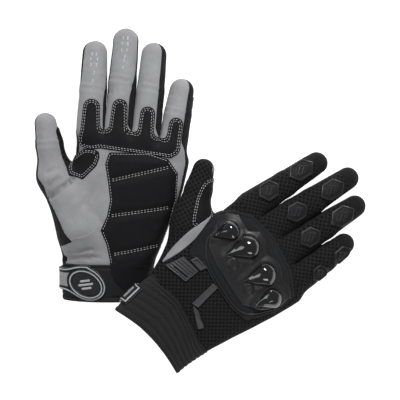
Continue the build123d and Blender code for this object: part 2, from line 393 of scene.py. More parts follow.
def rounded_edge(distance, radius):
    """0 at an outline, 1 from radius inside it, along a quarter circle."""
    t = np.clip(-distance / radius, 0, 1)
    return np.sqrt(np.maximum(1 - (1 - t) ** 2, 0))


def chains(rows, faces, keep, on_line):
    """Ordered runs of points along the border of the kept faces, where on_line holds."""
    edges = border_edges(faces[keep], len(rows))
    edges = edges[on_line[edges[:, 0]] & on_line[edges[:, 1]]]
    following = dict(zip(edges[:, 0].tolist(), edges[:, 1].tolist()))
    starts = sorted(set(following) - set(following.values())) or sorted(following)[:1]
    runs = []
    while following:
        point = starts.pop(0) if starts else next(iter(sorted(following)))
        if point not in following:
            continue
        run = [point]
        while point in following:
            point = following.pop(point)
            run.append(point)
        runs.append(rows[run])
    return [run for run in runs if len(run) > 3]


def resample(run, spacing):
    """Rows at equal steps along a run of rows."""
    along = along_run(run[:, :3])
    count = max(int(round(along[-1] / spacing)), 1)
    places = np.linspace(0, along[-1], count + 1)
    out = np.stack([np.interp(places, along, run[:, i]) for i in range(run.shape[1])], 1)
    out[:, 3:6] = unit(out[:, 3:6])
    return out


# Along a stitch, in its length: place, width as a share of the thread's, height in thread widths.
STITCH = ((-0.5, 0.25, -0.25), (-0.36, 0.95, 0.1), (0, 1.0, 0.35), (0.36, 0.95, 0.1), (0.5, 0.25, -0.25))


def thread(starts, ends, normals, radius, material):
    """Short stitches from starts to ends, each a rounded thread that dives into the fabric at both ends."""
    along = ends - starts
    length = np.linalg.norm(along, axis=1, keepdims=True)
    along = along / length
    side = unit(np.cross(normals, along))
    sides = 6
    middle = (starts + ends) / 2
    rings, centres = [], []
    for place, size, lift in STITCH:
        centre = middle + along * length * place + normals * radius * 2 * lift
        for k in range(sides):
            angle = 2 * math.pi * k / sides
            rings.append(centre + (side * math.cos(angle) + normals * math.sin(angle)) * radius * size)
            centres.append(centre)
    points = np.stack(rings, 1)
    out = points - np.stack(centres, 1)
    per_stitch = len(STITCH) * sides
    first = np.arange(len(points)) * per_stitch
    faces = (tube_faces(len(STITCH), sides)[None] + first[:, None, None]).reshape(-1, 3)
    return Solid(points.reshape(-1, 3), faces, unit(out.reshape(-1, 3))[faces].reshape(-1, 3), material)


def stitch_rows(runs, material, length=1.7, gap=0.9, radius=0.24, lift=0.0):
    """Stitches along runs of rows, or None where no run holds one."""
    pieces = []
    for run in runs:
        if along_run(run[:, :3])[-1] < length:
            continue
        places = resample(run, length + gap)
        if np.allclose(places[0, :3], places[1, :3]):
            continue                      # a ring too small for a stitch
        normals = unit(places[:-1, 3:6] + places[1:, 3:6])
        raised = places[:, :3] + places[:, 3:6] * lift
        share = gap / (length + gap) / 2
        starts = raised[:-1] * (1 - share) + raised[1:] * share
        ends = raised[:-1] * share + raised[1:] * (1 - share)
        pieces.append(thread(starts, ends, normals, radius, material))
    return join(pieces)


def cord(run, radius, lift, material):
    """A round cord along a run of rows, such as a piping edge."""
    sides = 8
    centre = run[:, :3] + run[:, 3:6] * lift
    ahead = np.roll(centre, -1, axis=0) - np.roll(centre, 1, axis=0)
    ahead[0] = centre[1] - centre[0]
    ahead[-1] = centre[-1] - centre[-2]
    ahead = unit(ahead)
    side = unit(np.cross(run[:, 3:6], ahead))
    up = np.cross(ahead, side)
    angles = 2 * np.pi * np.arange(sides) / sides
    ring = side[:, None] * np.cos(angles)[None, :, None] + up[:, None] * np.sin(angles)[None, :, None]
    points = (centre[:, None] + ring * radius).reshape(-1, 3)
    faces = tube_faces(len(run), sides)
    return Solid(points, faces, ring.reshape(-1, 3)[faces].reshape(-1, 3), material)


# ---- the glove's form ----
class Stall:
    """A finger or thumb: two rods, in the glove frame."""

    def __init__(self, name, root, middle, tip_length, tip_droop, sizes, broad):
        self.name = name
        self.root, self.middle = root, middle
        self.base = np.linalg.norm(middle - root)
        self.ahead = unit(middle - root)
        self.across = unit(np.cross(self.ahead, (0.0, 0.0, 1.0)))
        self.up = np.cross(self.across, self.ahead)
        turn = math.radians(tip_droop)
        self.tip_ahead = self.ahead * math.cos(turn) - self.up * math.sin(turn)
        self.tip_up = np.cross(self.across, self.tip_ahead)
        self.tip_length = tip_length
        self.sizes = [(wide * factor, high) for (wide, high), factor in zip(sizes, broad)]

    def rod(self, points, start, ahead, up, length, first, last, round_end):
        """Rough distance to a flattened, tapered rod with round ends."""
        rel = points - start
        v, u, w = rel @ ahead, rel @ self.across, rel @ up
        t = np.clip(v / length, 0, 1)
        wide = first[0] + (last[0] - first[0]) * t
        high = first[1] + (last[1] - first[1]) * t
        beyond = v - t * length
        end = np.where(beyond > 0, round_end, first[0])
        k = np.sqrt((u / wide) ** 2 + (w / high) ** 2 + (beyond / end) ** 2) + 1e-9
        slope = np.sqrt((u / wide ** 2) ** 2 + (w / high ** 2) ** 2 + (beyond / end ** 2) ** 2) + 1e-9
        return k * (k - 1) / slope

    def distance(self, points):
        root, middle, tip = self.sizes
        near = self.rod(points, self.root, self.ahead, self.up, self.base, root, middle, middle[0])
        reach = self.tip_length - tip[0]
        far = self.rod(points, self.middle, self.tip_ahead, self.tip_up, reach, middle, tip, tip[0])
        return smooth_min(near, far, 2.0)

    def coordinates(self, points):
        """u across, v along from the root hinge, w out of the back, following the bend."""
        near = points - self.root
        far = points - self.middle
        v_near, v_far = near @ self.ahead, far @ self.tip_ahead
        beyond = v_near > self.base
        v = np.where(beyond, self.base + v_far, v_near)
        w = np.where(beyond, far @ self.tip_up, near @ self.up)
        return near @ self.across, v, w

    def place(self, u, v, w):
        """Points from across, along and up."""
        u, v, w = (np.asarray(a, float)[..., None] for a in (u, v, w))
        near = self.root + self.across * u + self.ahead * v + self.up * w
        far = self.middle + self.across * u + self.tip_ahead * (v - self.base) + self.tip_up * w
        return np.where(v > self.base, far, near)

    def plan(self, points):
        """Across and along in the plan, without the bend."""
        flat = unit(self.ahead * (1, 1, 0))
        rel = points - self.root
        return rel @ self.across, rel @ flat


class Glove:
    def __init__(self, side):
        self.side = side
        self.rings = HAND_RINGS.copy()
        if side == "right":
            self.rings[:len(RIGHT_WRIST)] = RIGHT_WRIST
        joints = {joint["name"]: np.array(joint.get("pos_m", (0, 0, 0))) / MM for joint in frame["joints"]}
        index, pinky, thumb = (joints[f"{side}_{name}_root"] for name in ("index", "pinky", "thumb"))
        first, last = np.array(FINGERS["index"]["root"]), np.array(FINGERS["pinky"]["root"])
        rise = last[1] - first[1]
        span = math.sqrt(np.sum((pinky - index) ** 2) - rise ** 2)
        self.breadth = span / (last[0] - first[0])
        normal = -unit(np.cross(pinky - index, thumb - index))
        along = unit(pinky - index)
        square = np.cross(normal, along)
        angle = math.atan2(rise, span)
        x_axis = along * math.cos(angle) - square * math.sin(angle)
        y_axis = along * math.sin(angle) + square * math.cos(angle)
        self.mirrored = side == "left"
        self.axes = np.array([x_axis, y_axis, -normal if self.mirrored else normal])
        self.origin = index - np.array([first[0] * self.breadth, first[1], 0]) @ self.axes
        self.stalls = {}
        for name in [*FINGERS, "thumb"]:
            root, middle = (self.local(joints[f"{side}_{name}_{part}"]) for part in ("root", "middle"))
            about = THUMB if name == "thumb" else FINGERS[name]
            droop = 0 if name == "thumb" else TIP_DROOP[side]
            broad = (1, 1, 1) if name == "thumb" else BROAD[side]
            self.stalls[name] = Stall(name, root, middle, about["tip"], droop, STALL_SIZES[name], broad)

    def local(self, points):
        return (np.asarray(points) - self.origin) @ self.axes.T

    def world(self, points):
        return (np.asarray(points) @ self.axes + self.origin) * MM

    def ring(self, y):
        """Centre, half width and half thickness at y, on the back and on the palm."""
        rings = self.rings
        values = [np.interp(y, rings[:, 0], rings[:, i]) for i in range(1, 5)]
        early = [np.interp(y - 7, rings[:, 0], rings[:, i]) for i in range(1, 5)]
        late = [np.interp(y + 7, rings[:, 0], rings[:, i]) for i in range(1, 5)]
        centre, wide, back, palm = [(a + b + c) / 3 for a, b, c in zip(values, early, late)]
        return centre * self.breadth, wide * self.breadth, back, palm

    def hand_distance(self, points):
        x, y, z = points.T
        centre, wide, back, palm = self.ring(y)
        high = np.where(z > 0, back, palm)
        u, w = np.abs(x - centre) / wide, np.abs(z) / high
        k = (u ** HAND_POWER + w ** HAND_POWER + 1e-9) ** (1 / HAND_POWER)
        slope = np.hypot((u / k) ** (HAND_POWER - 1) / wide, (w / k) ** (HAND_POWER - 1) / high) + 1e-3
        around = (k - 1) / slope
        line = np.interp(x / self.breadth, FINGER_LINE[:, 0], FINGER_LINE[:, 1])
        return smooth_max(around, y - line, 9)

    def form(self, points, only=None):
        """The glove's smooth form. With a finger's name, the other fingers fade out beyond its root."""
        thumb = self.stalls["thumb"]
        ball, first, last, web = THENAR[self.side]
        reach = thumb.root - ball
        length = np.linalg.norm(reach)
        t = np.clip((points - ball) @ reach / length ** 2, 0, 1)
        thenar = np.linalg.norm(points - ball - t[:, None] * reach, axis=1) - (first + (last - first) * t)
        total = smooth_min(self.hand_distance(points), thenar, 16)
        total = smooth_min(total, thumb.distance(points), web)
        fingers = []
        for name in FINGERS:
            distance = self.stalls[name].distance(points)
            if only in FINGERS and name != only:
                distance = distance + 14 * ramp(self.stalls[only].plan(points)[1], -6.5, 0)
            fingers.append(distance)
        return smooth_min(total, np.min(fingers, axis=0), 7)

    def folds(self, points):
        """How far the fabric sinks: soft dents everywhere and creases where it bends."""
        sink = 0.42 * value_noise(points / (19, 26, 19), 3) + 0.16 * value_noise(points / (8, 11, 8), 5)
        x, y, z = points.T
        wander = 1.1 * value_noise(points / 9 + 7, 11)
        for start, end, depth, width, side in CREASES:
            near = capsule(x / self.breadth + wander, y + wander, start, end, 0.0)
            facing = ramp(z * side, -6, 2)
            sink = sink + depth * facing * np.exp(-(near / width) ** 2)
        for name, stall in self.stalls.items():
            u, v, w = stall.coordinates(points)
            reach = np.hypot(u, w) < 20
            bend = v - stall.base
            palm = ramp(-w, -3, 6) * reach
            sink = sink + palm * (0.7 * np.exp(-((bend + 0.1 * u) / 1.7) ** 2)
                                  + 0.35 * np.exp(-((bend - 5 + 0.12 * u) / 1.5) ** 2))
            back = ramp(w, 0, 6) * reach
            for ridge in (-4.2, -1.4, 1.4, 4.2):
                sink = sink - back * 0.5 * np.exp(-((bend - ridge) / 0.8) ** 2) * (name != "thumb")
        return sink

    def skin_field(self, points):
        return self.form(points) + self.folds(points)

    def net(self, owner, places, margin):
        """Skin around some places, as rows and faces, from a grid that all the parts share."""
        low = np.floor((places.min(0) - margin) / NET_STEP) * NET_STEP
        points, faces = surface_net(lambda p: self.form(p, owner), low, places.max(0) + margin, NET_STEP)
        return settle(lambda p: self.form(p, owner) + self.folds(p), points), faces

    def skin(self):
        """The skin by owner: ("hand", ""), and for each stall its "root" and its "tip" part."""
        fields = self.split_fields()
        roots = np.array([stall.root for stall in self.stalls.values()])
        rows, faces = self.net(None, np.vstack([roots, (0, CUFF_SEAM, 0)]), 26)
        cuff_side = [lambda p: CUFF_SEAM - 1 - p[:, 1]]
        for field in cuff_side + [lambda p, f=f: -f(p) for f in fields.values()]:
            rows, faces = cut(rows, faces, field(rows[:, :3]))
            rows, faces = take(rows, faces, field(middles(rows, faces)) < 0)
        parts = {("hand", ""): (rows, faces)}
        for name, field in fields.items():
            stall = self.stalls[name]
            length = stall.base + stall.tip_length
            places = stall.place(np.zeros(2), np.array([ROOT_CUT, length]), np.zeros(2))
            rows, faces = self.net(name, places, 24)
            rows, faces = cut(rows, faces, field(rows[:, :3]))
            rows, faces = take(rows, faces, field(middles(rows, faces)) < 0)
            half = stall.base * ROOT_SHARE
            rows, faces = cut(rows, faces, stall.coordinates(rows[:, :3])[1] - half)
            beyond = stall.coordinates(middles(rows, faces))[1] > half
            parts[name, "root"] = take(rows, faces, ~beyond)
            parts[name, "tip"] = take(rows, faces, beyond)
        return parts

    def split_fields(self):
        """For each stall, a field below 0 where the skin belongs to it."""
        def away(name, points):
            stall = self.stalls[name]
            u, v = stall.plan(points)
            return np.hypot(u, np.maximum(v - stall.base - stall.tip_length, 0))
        fields = {}
        names = list(FINGERS)
        for i, name in enumerate(names):
            beside = [names[j] for j in (i - 1, i + 1) if 0 <= j < len(names)]

            def field(points, name=name, beside=beside):
                v = self.stalls[name].plan(points)[1]
                mine = away(name, points)
                others = np.min([away(other, points) for other in beside], axis=0)
                return np.maximum(np.maximum(ROOT_CUT - v, mine - others), mine - 19)
            fields[name] = field

        def thumb_field(points):
            u, v = self.stalls["thumb"].plan(points)
            return np.maximum(np.maximum(ROOT_CUT - v, u - 15 - 0.15 * v), -u - 30)
        fields["thumb"] = thumb_field
        return fields


# Creases in the fabric: start, end, depth, width, and -1 for the palm or 1 for the back.
CREASES = (
    ((-61, 58), (-41, 73), 2.6, 2.3, -1),
    ((-62, 69), (-52, 75), 1.5, 2.2, -1),
    ((-63, 80), (-52, 84), 1.2, 2.2, -1),
    ((-48, 2), (-18, 4), 1.8, 1.8, -1),
    ((-44, 8), (-24, 11), 1.0, 1.7, -1),
    ((-30, 52), (-12, 34), 0.7, 3.0, -1),
    ((-40, 40), (-24, 60), 0.6, 3.4, -1),
    ((-36, 6), (10, 9), 0.9, 2.2, 1),
    ((-10, 14), (30, 12), 0.7, 2.0, 1),
)


# ---- materials ----
class Shader:
    """A Principled material built node by node. Its patterns read each point's rest place, in millimetres."""

    def __init__(self, name, color, rough, sheen=0.0, coat=0.0, specular=0.5):
        self.material = bpy.data.materials.new(name)
        self.material.use_nodes = True
        self.tree = self.material.node_tree
        self.surface = self.tree.nodes["Principled BSDF"]
        self.surface.inputs["Base Color"].default_value = (*color, 1)
        self.surface.inputs["Roughness"].default_value = rough
        self.surface.inputs["Sheen Weight"].default_value = sheen
        self.surface.inputs["Sheen Roughness"].default_value = 0.5
        self.surface.inputs["Coat Weight"].default_value = coat
        self.surface.inputs["Specular IOR Level"].default_value = specular
        place = self.node("ShaderNodeAttribute")
        place.attribute_name = "rest"
        self.place = place.outputs["Vector"]
        self.material.diffuse_color = (*color, 1)

    def node(self, kind, **settings):
        node = self.tree.nodes.new(kind)
        for key, value in settings.items():
            if key in node.inputs:
                node.inputs[key].default_value = value
            else:
                setattr(node, key, value)
        return node

    def link(self, source, target):
        self.tree.links.new(source, target)

    def scaled(self, factors):
        node = self.node("ShaderNodeVectorMath", operation="MULTIPLY")
        self.link(self.place, node.inputs[0])
        node.inputs[1].default_value = factors
        return node.outputs["Vector"]

    def noise(self, size, detail=3.0, rough=0.55, stretch=(1, 1, 1)):
        """Noise whose grain is about size millimetres."""
        node = self.node("ShaderNodeTexNoise", Scale=1.0, Detail=detail, Roughness=rough)
        self.link(self.scaled([s / size for s in stretch]), node.inputs["Vector"])
        return node.outputs["Fac"]

    def dots(self, pitch, turn):
        """Distance from the nearest point of a square grid, in pitches."""
        turned = self.node("ShaderNodeVectorRotate", rotation_type="Z_AXIS", Angle=math.radians(turn))
        self.link(self.scaled([1 / pitch, 1 / pitch, 0]), turned.inputs["Vector"])
        node = self.node("ShaderNodeTexVoronoi", voronoi_dimensions="2D", Scale=1.0, Randomness=0.0)
        self.link(turned.outputs["Vector"], node.inputs["Vector"])
        return node.outputs["Distance"]

    def wave(self, size, axis, bend=0.0):
        """Bands, about three to every size millimetres."""
        node = self.node("ShaderNodeTexWave", bands_direction=axis, Scale=1 / size, Distortion=bend)
        self.link(self.place, node.inputs["Vector"])
        return node.outputs["Fac"]

    def mapped(self, value, low, high, out_low=0.0, out_high=1.0):
        node = self.node("ShaderNodeMapRange", interpolation_type="SMOOTHSTEP")
        self.link(value, node.inputs["Value"])
        for key, number in (("From Min", low), ("From Max", high), ("To Min", out_low), ("To Max", out_high)):
            node.inputs[key].default_value = number
        return node.outputs["Result"]

    def combine(self, operation, first, second):
        node = self.node("ShaderNodeMath", operation=operation)
        for i, value in enumerate((first, second)):
            if isinstance(value, (int, float)):
                node.inputs[i].default_value = value
            else:
                self.link(value, node.inputs[i])
        return node.outputs["Value"]

    def color(self, value, low, high):
        node = self.node("ShaderNodeMix", data_type="RGBA")
        self.link(value, node.inputs[0])
        node.inputs[6].default_value = (*low, 1)
        node.inputs[7].default_value = (*high, 1)
        self.link(node.outputs[2], self.surface.inputs["Base Color"])

    def rough(self, value):
        self.link(value, self.surface.inputs["Roughness"])

    def bump(self, height, depth):
        """Bump whose height of 1 stands depth millimetres out."""
        node = self.node("ShaderNodeBump", Strength=1.0, Distance=depth * MM)
        self.link(height, node.inputs["Height"])
        self.link(node.outputs["Normal"], self.surface.inputs["Normal"])


def suede():
    s = Shader("suede", (0.33, 0.33, 0.355), 0.95, sheen=0.12, specular=0.15)
    cloud = s.noise(16, 5, 0.65)
    nap = s.noise(0.55, 4, 0.7, (1, 0.6, 1))
    mixed = s.combine("ADD", s.mapped(cloud, 0.3, 0.7, 0, 0.55), s.mapped(nap, 0.25, 0.75, 0, 0.45))
    s.color(mixed, (0.235, 0.235, 0.243), (0.330, 0.330, 0.340))
    s.bump(s.combine("ADD", nap, s.combine("MULTIPLY", s.noise(2.2, 3), 0.6)), 0.16)
    return s


def black_hide():
    s = Shader("black_hide", (0.0070, 0.0065, 0.0074), 0.66, sheen=0.01, specular=0.14)
    grain = s.noise(0.9, 4, 0.65)
    s.color(s.noise(7, 3), (0.0050, 0.0045, 0.0054), (0.0088, 0.0082, 0.0094))
    s.rough(s.mapped(grain, 0.3, 0.7, 0.52, 0.74))
    s.bump(s.combine("ADD", grain, s.noise(3.0, 2)), 0.13)
    return s


def air_mesh():
    """Knitted spacer mesh: round holes in staggered rows, with fine knit between them. The holes are painted
    near-black as painted shade inside them.
    """
    s = Shader("air_mesh", (0.010, 0.010, 0.011), 0.8, sheen=0.02, specular=0.16)
    hole = s.mapped(s.dots(3.3, 45), 0.24, 0.40)
    knit = s.mapped(s.dots(0.62, 0), 0.15, 0.55, 1, 0)
    # Painted shade: the colour is darkened in the holes to stand for the shade inside them; the knit's tone
    # is the yarn's own.
    painted_hole_shade = s.combine("MULTIPLY", hole, s.combine("ADD", s.combine("MULTIPLY", knit, 0.5), 0.5))
    s.color(painted_hole_shade, (0.0015, 0.0015, 0.0016), (0.018, 0.018, 0.019))
    height = s.combine("ADD", hole, s.combine("MULTIPLY", knit, 0.25))
    s.bump(height, 0.42)
    return s


def side_cloth():
    s = Shader("side_cloth", (0.008, 0.008, 0.009), 0.8, sheen=0.02, specular=0.15)
    weave = s.combine("ADD", s.wave(0.8, "X"), s.wave(0.8, "Y"))
    s.color(s.noise(5), (0.007, 0.007, 0.008), (0.015, 0.015, 0.016))
    s.bump(weave, 0.08)
    return s


def lining():
    s = Shader("lining", (0.03, 0.03, 0.033), 0.9, sheen=0.3, specular=0.2)
    s.color(s.mapped(s.dots(1.1, 45), 0.2, 0.6), (0.02, 0.02, 0.022), (0.045, 0.045, 0.048))
    s.bump(s.dots(1.1, 45), 0.12)
    return s


def neoprene():
    s = Shader("neoprene", (0.011, 0.0115, 0.0125), 0.72, sheen=0.04, specular=0.2)
    jersey = s.combine("ADD", s.wave(0.7, "X", 0.4), s.combine("MULTIPLY", s.noise(0.8, 3), 0.8))
    s.color(s.noise(6), (0.009, 0.0095, 0.0105), (0.0145, 0.015, 0.016))
    s.bump(jersey, 0.07)
    return s


def hard_shell():
    s = Shader("hard_shell", (0.022, 0.022, 0.023), 0.45, specular=0.35)
    grain = s.noise(0.35, 2, 0.5)
    s.color(s.noise(9, 3), (0.0125, 0.0125, 0.0135), (0.0175, 0.0175, 0.0185))
    s.rough(s.mapped(s.noise(4, 4), 0.3, 0.7, 0.36, 0.5))
    s.bump(grain, 0.02)
    return s


def gloss_dome():
    s = Shader("gloss_dome", (0.006, 0.006, 0.0065), 0.10, coat=0.6, specular=0.6)
    s.rough(s.mapped(s.noise(3, 5, 0.7), 0.4, 0.75, 0.07, 0.17))
    s.bump(s.noise(6, 2), 0.03)
    return s


def moulded_rubber():
    s = Shader("moulded_rubber", (0.050, 0.050, 0.052), 0.5, specular=0.35)
    s.color(s.noise(5, 3), (0.040, 0.040, 0.042), (0.062, 0.062, 0.065))
    s.rough(s.mapped(s.noise(1.2, 4), 0.3, 0.7, 0.45, 0.66))
    s.bump(s.noise(0.5, 3), 0.04)
    return s


def elastic():
    """Ribbed knit: fine wales along the hand."""
    s = Shader("elastic", (0.013, 0.0125, 0.0125), 0.8, sheen=0.05, specular=0.18)
    wale = s.combine("ADD", s.wave(1.1, "X", 0.6), s.combine("MULTIPLY", s.wave(0.7, "Y"), 0.5))
    s.color(s.noise(2.5, 4), (0.016, 0.0152, 0.0152), (0.028, 0.0268, 0.0268))
    s.bump(wale, 0.14)
    return s


def dark_rubber():
    s = Shader("dark_rubber", (0.011, 0.011, 0.012), 0.7, specular=0.2)
    s.color(s.noise(2.5, 3), (0.008, 0.008, 0.009), (0.014, 0.014, 0.015))
    s.bump(s.noise(0.6, 3), 0.05)
    return s


def loop_tape():
    s = Shader("loop_tape", (0.012, 0.012, 0.0125), 0.95, sheen=0.1, specular=0.12)
    fuzz = s.noise(0.5, 5, 0.8)
    s.color(fuzz, (0.004, 0.004, 0.0045), (0.028, 0.028, 0.030))
    s.bump(fuzz, 0.4)
    return s


def white_thread():
    s = Shader("white_thread", (0.5, 0.5, 0.5), 0.6, sheen=0.1)
    ply = s.noise(0.35, 2)
    s.color(ply, (0.36, 0.36, 0.37), (0.60, 0.60, 0.60))
    s.bump(ply, 0.08)
    return s


def grey_thread():
    s = Shader("grey_thread", (0.36, 0.36, 0.38), 0.7, sheen=0.2)
    s.color(s.noise(0.35, 2), (0.26, 0.26, 0.28), (0.46, 0.46, 0.48))
    return s


def black_cord():
    s = Shader("black_cord", (0.010, 0.010, 0.011), 0.45, specular=0.5)
    s.color(s.noise(1.0, 3), (0.006, 0.006, 0.007), (0.018, 0.018, 0.019))
    s.bump(s.noise(0.5, 3), 0.05)
    return s


def light_print():
    s = Shader("light_print", (0.38, 0.385, 0.40), 0.35, coat=0.2, specular=0.5)
    s.color(s.noise(2, 2), (0.33, 0.335, 0.35), (0.46, 0.465, 0.48))
    s.rough(s.mapped(s.noise(1, 3), 0.3, 0.7, 0.2, 0.38))
    return s


MATERIALS = {make.__name__: make().material for make in (
    suede, black_hide, dark_rubber, air_mesh, side_cloth, lining, neoprene, hard_shell, gloss_dome,
    moulded_rubber, elastic, loop_tape, white_thread, grey_thread, black_cord, light_print)}
STITCHED_HIDE = ["black_hide", "white_thread"]


# ---- pieces ----
def emit(glove, name, solid, materials, nodes=(), body=None, blend=None, rest=None):
    """Makes a Blender piece from a solid in the glove frame and hangs it on a body of the frame; a piece
    given a blend is only baked in place, with no body.
    """
    mesh = bpy.data.meshes.new(f"{glove.side}_{name}")
    faces, normals = solid.faces, solid.normals.reshape(-1, 3, 3)
    if glove.mirrored:
        faces, normals = faces[:, ::-1], normals[:, ::-1]
    count = len(faces)
    mesh.vertices.add(len(solid.points))
    mesh.vertices.foreach_set("co", glove.world(solid.points).astype(np.float32).ravel())
    mesh.loops.add(count * 3)
    mesh.loops.foreach_set("vertex_index", faces.astype(np.int32).ravel())
    mesh.polygons.add(count)
    mesh.polygons.foreach_set("loop_start", np.arange(0, count * 3, 3, dtype=np.int32))
    mesh.polygons.foreach_set("material_index", solid.material.astype(np.int32))
    for material in materials:
        mesh.materials.append(MATERIALS[material])
    place = mesh.attributes.new("rest", "FLOAT_VECTOR", "POINT")
    values = solid.points if rest is None else rest(solid.points)
    place.data.foreach_set("vector", values.astype(np.float32).ravel())
    mesh.update(calc_edges=True)
    mesh.polygons.foreach_set("use_smooth", np.ones(count, bool))
    mesh.normals_split_custom_set((normals.reshape(-1, 3) @ glove.axes).tolist())
    piece = bpy.data.objects.new(mesh.name, mesh)
    bpy.context.scene.collection.objects.link(piece)
    if blend:
        start, end = blend[2:]
        tuple(glove.world(start))
        tuple(glove.world(end))
        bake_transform(piece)
    else:
        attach(piece, f"{glove.side}_{body}")
    if nodes:
        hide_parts(*[f"{glove.side}_{node}" for node in nodes])
    return piece


def root_blend(stall):
    start, end = (stall.place(0, v, 0) for v in ROOT_BLEND)
    return "hand", f"{stall.name}_proximal", start, end


def middle_blend(stall):
    start, end = (stall.place(0, stall.base + v, 0) for v in (-MIDDLE_BLEND, MIDDLE_BLEND))
    return f"{stall.name}_proximal", f"{stall.name}_distal", start, end


def stall_rest(stall):
    """Pattern coordinates that run along the stall."""
    def rest(points):
        return np.stack(stall.coordinates(points), 1)
    return rest


def emit_part(glove, owner, name, solid, materials, nodes=()):
    """A piece of fabric on the hand, or one over its stall's joint, which is baked in place without a body.
    """
    stall_name, key = owner
    if stall_name == "hand":
        return emit(glove, name, solid, materials, nodes, body="hand")
    stall = glove.stalls[stall_name]
    blend = root_blend(stall) if key == "root" else middle_blend(stall)
    return emit(glove, f"{name}_{stall_name}_{key}", solid, materials, nodes, blend=blend,
                rest=stall_rest(stall))


# ---- fabric ----
# Inner edge of the black side band that runs from the wrist up the outside of the thumb: x, y.
THUMB_BAND = ((-41.4, 18.5), (-48.2, 27.1), (-53.2, 38.6), (-58.8, 49.5), (-63.6, 57.7), (-67.0, 70.4),
              (-69.0, 87.9), (-70.0, 99.5), (-71, 125), (-95, 125), (-95, 10), (-52, 13))


def seam_distance(glove, owner, points):
    """Millimetres from the side seam: below 0 on the suede, above 0 on the back."""
    x, y, z = points.T
    hand = z + 4.8 + 0.6 * ramp(x / glove.breadth, 22, 46)
    if glove.side == "left":
        hand = np.maximum(hand, -polygon(x, y, THUMB_BAND))
    if owner == "hand":
        return hand
    u, v, w = glove.stalls[owner].coordinates(points)
    first, last = (THUMB if owner == "thumb" else FINGERS[owner])["suede"]
    angle = np.degrees(np.arctan2(u, -w))
    along = ramp(v, 22, 62)
    first, last = (start + (end - start) * along for start, end in (first, last))
    finger = -np.minimum(angle - first, last - angle) * 0.19
    if owner == "thumb":
        finger = finger - 14 * ramp(v, 40, 50) * ramp(u, 0, 8)
    share = ramp(v, -7, 5)
    return hand * (1 - share) + finger * share


def fabric(glove, owner, rows, faces):
    """One part of the skin, sunk along the side seam."""
    name, key = owner

    def seam(points):
        return seam_distance(glove, name, points)

    rows, faces = cut_levels(rows, faces, seam, (-0.8, 0, 0.8))
    rows = rows.copy()
    rows[:, :3] -= rows[:, 3:6] * (0.45 * np.exp(-(seam(rows[:, :3]) / 0.7) ** 2))[:, None]
    centre = middles(rows, faces)
    distance = seam(centre)
    if name == "hand":
        for part, keep, materials, node in (
            ("suede", distance < 0, ["suede"], "palm_panel"),
            ("mesh", distance >= 0, ["air_mesh", "side_cloth"], "back_panel"),
        ):
            part_rows, part_faces = take(rows, faces, keep)
            near = (seam(middles(part_rows, part_faces)) < 5) * (part == "mesh")
            solid = layer(part_rows, part_faces, 0, -WALL, True, near.astype(int))
            emit(glove, f"hand_{part}", solid, materials, [node], body="hand")
        return
    stall = glove.stalls[name]
    u, v, w = stall.coordinates(centre)
    plain = (np.degrees(np.arctan2(np.abs(u), w)) > 62) | (v > stall.base + stall.tip_length - 15)
    material = np.where(distance < 0, 0, np.where(plain & (name != "thumb"), 2, 1))
    solid = layer(rows, faces, 0, -WALL, True, material)
    node = f"{name}_{'proximal' if key == 'root' else 'distal'}_shell"
    emit_part(glove, owner, "stall", solid, ["suede", "air_mesh", "side_cloth"], [node])


LINER_REACH = (-10, 17)      # along the stall, from its root hinge
LINER_GAP = 2.4              # how far inside the stall it lies
LINER_END = 0.55             # how far its ends close


def liner(glove, stall):
    """Dark lining inside a stall's root, which shows where neighbouring fingers part."""
    stations = np.linspace(*LINER_REACH, 10)
    sides = 28
    angles = np.linspace(0, 2 * np.pi, sides, endpoint=False)
    wide, high = (size - LINER_GAP for size in stall.sizes[0])
    points = []
    for v in stations:
        close = LINER_END if v in LINER_REACH else 1.0
        across, up = np.cos(angles) * wide * close, np.sin(angles) * high * close
        points.append(stall.place(across, np.full(sides, v), up))
    points = np.vstack(points)
    solid = outward(points, tube_faces(len(stations), sides))
    emit(glove, f"liner_{stall.name}", solid, ["lining"], blend=root_blend(stall))


# ---- panels cut from the skin ----
PANEL_SINK = -0.35           # how deep a panel's underside lies in the skin


def panel(glove, name, skin, outline, side, height, materials, edge=1.2, stitches=(), relief=None,
          lines=(), nodes=(), extra=()):
    """A panel that lies on the skin inside an outline, with a rounded edge and rows of stitches along it."""
    levels = [0, -0.25 * edge, -0.6 * edge, -edge, *[-s for s in stitches]]
    for owner, (rows, faces) in skin.items():
        centre = middles(rows, faces)
        near = (outline(centre) < 3) & (centre[:, 2] * side > -3)
        if not near.any():
            continue
        rows, faces = take(rows, faces, near)
        rows, faces = cut_levels(rows, faces, outline, levels)
        for field, level in lines:
            rows, faces = cut(rows, faces, field(rows[:, :3]) - level)
        inside = outline(middles(rows, faces)) < 0
        if not inside.any():
            continue
        rows, faces = take(rows, faces, inside)
        distance = outline(rows[:, :3])
        rise = height * rounded_edge(distance, edge)
        if relief:
            rise = rise + relief(rows[:, :3]) * rounded_edge(distance, edge)
        solids = [layer(rows, faces, rise, PANEL_SINK)]
        for inset in stitches:
            inside = outline(middles(rows, faces)) < -inset
            runs = chains(rows, faces, inside, np.abs(distance + inset) < 0.12)
            for run in runs:
                if relief:
                    run[:, :3] += run[:, 3:6] * relief(run[:, :3])[:, None]
            row = stitch_rows(runs, 1, lift=height - 0.08)
            if row:
                solids.append(row)
        on_the_hand = owner[0] == "hand"
        solid = join([*solids, *extra] if on_the_hand else solids)
        emit_part(glove, owner, name, solid, materials, nodes if on_the_hand else ())


def drawn_in(corners, reach):
    """Corners moved towards their middle."""
    corners = np.array(corners, float)
    centre = corners.mean(0)
    arms = corners - centre
    return centre + arms * (1 - reach / np.linalg.norm(arms, axis=1, keepdims=True))


def plan_outline(glove, corners, rounding):
    """An outline on the hand from corners in its plan, rounded outwards."""
    def outline(points):
        return polygon(points[:, 0] / glove.breadth, points[:, 1], corners, rounding)
    return outline


def flat_outline(glove, corners, rounding):
    """An outline on the hand from corners in its plan, rounded inside the drawn shape."""
    return plan_outline(glove, drawn_in(corners, rounding), rounding)


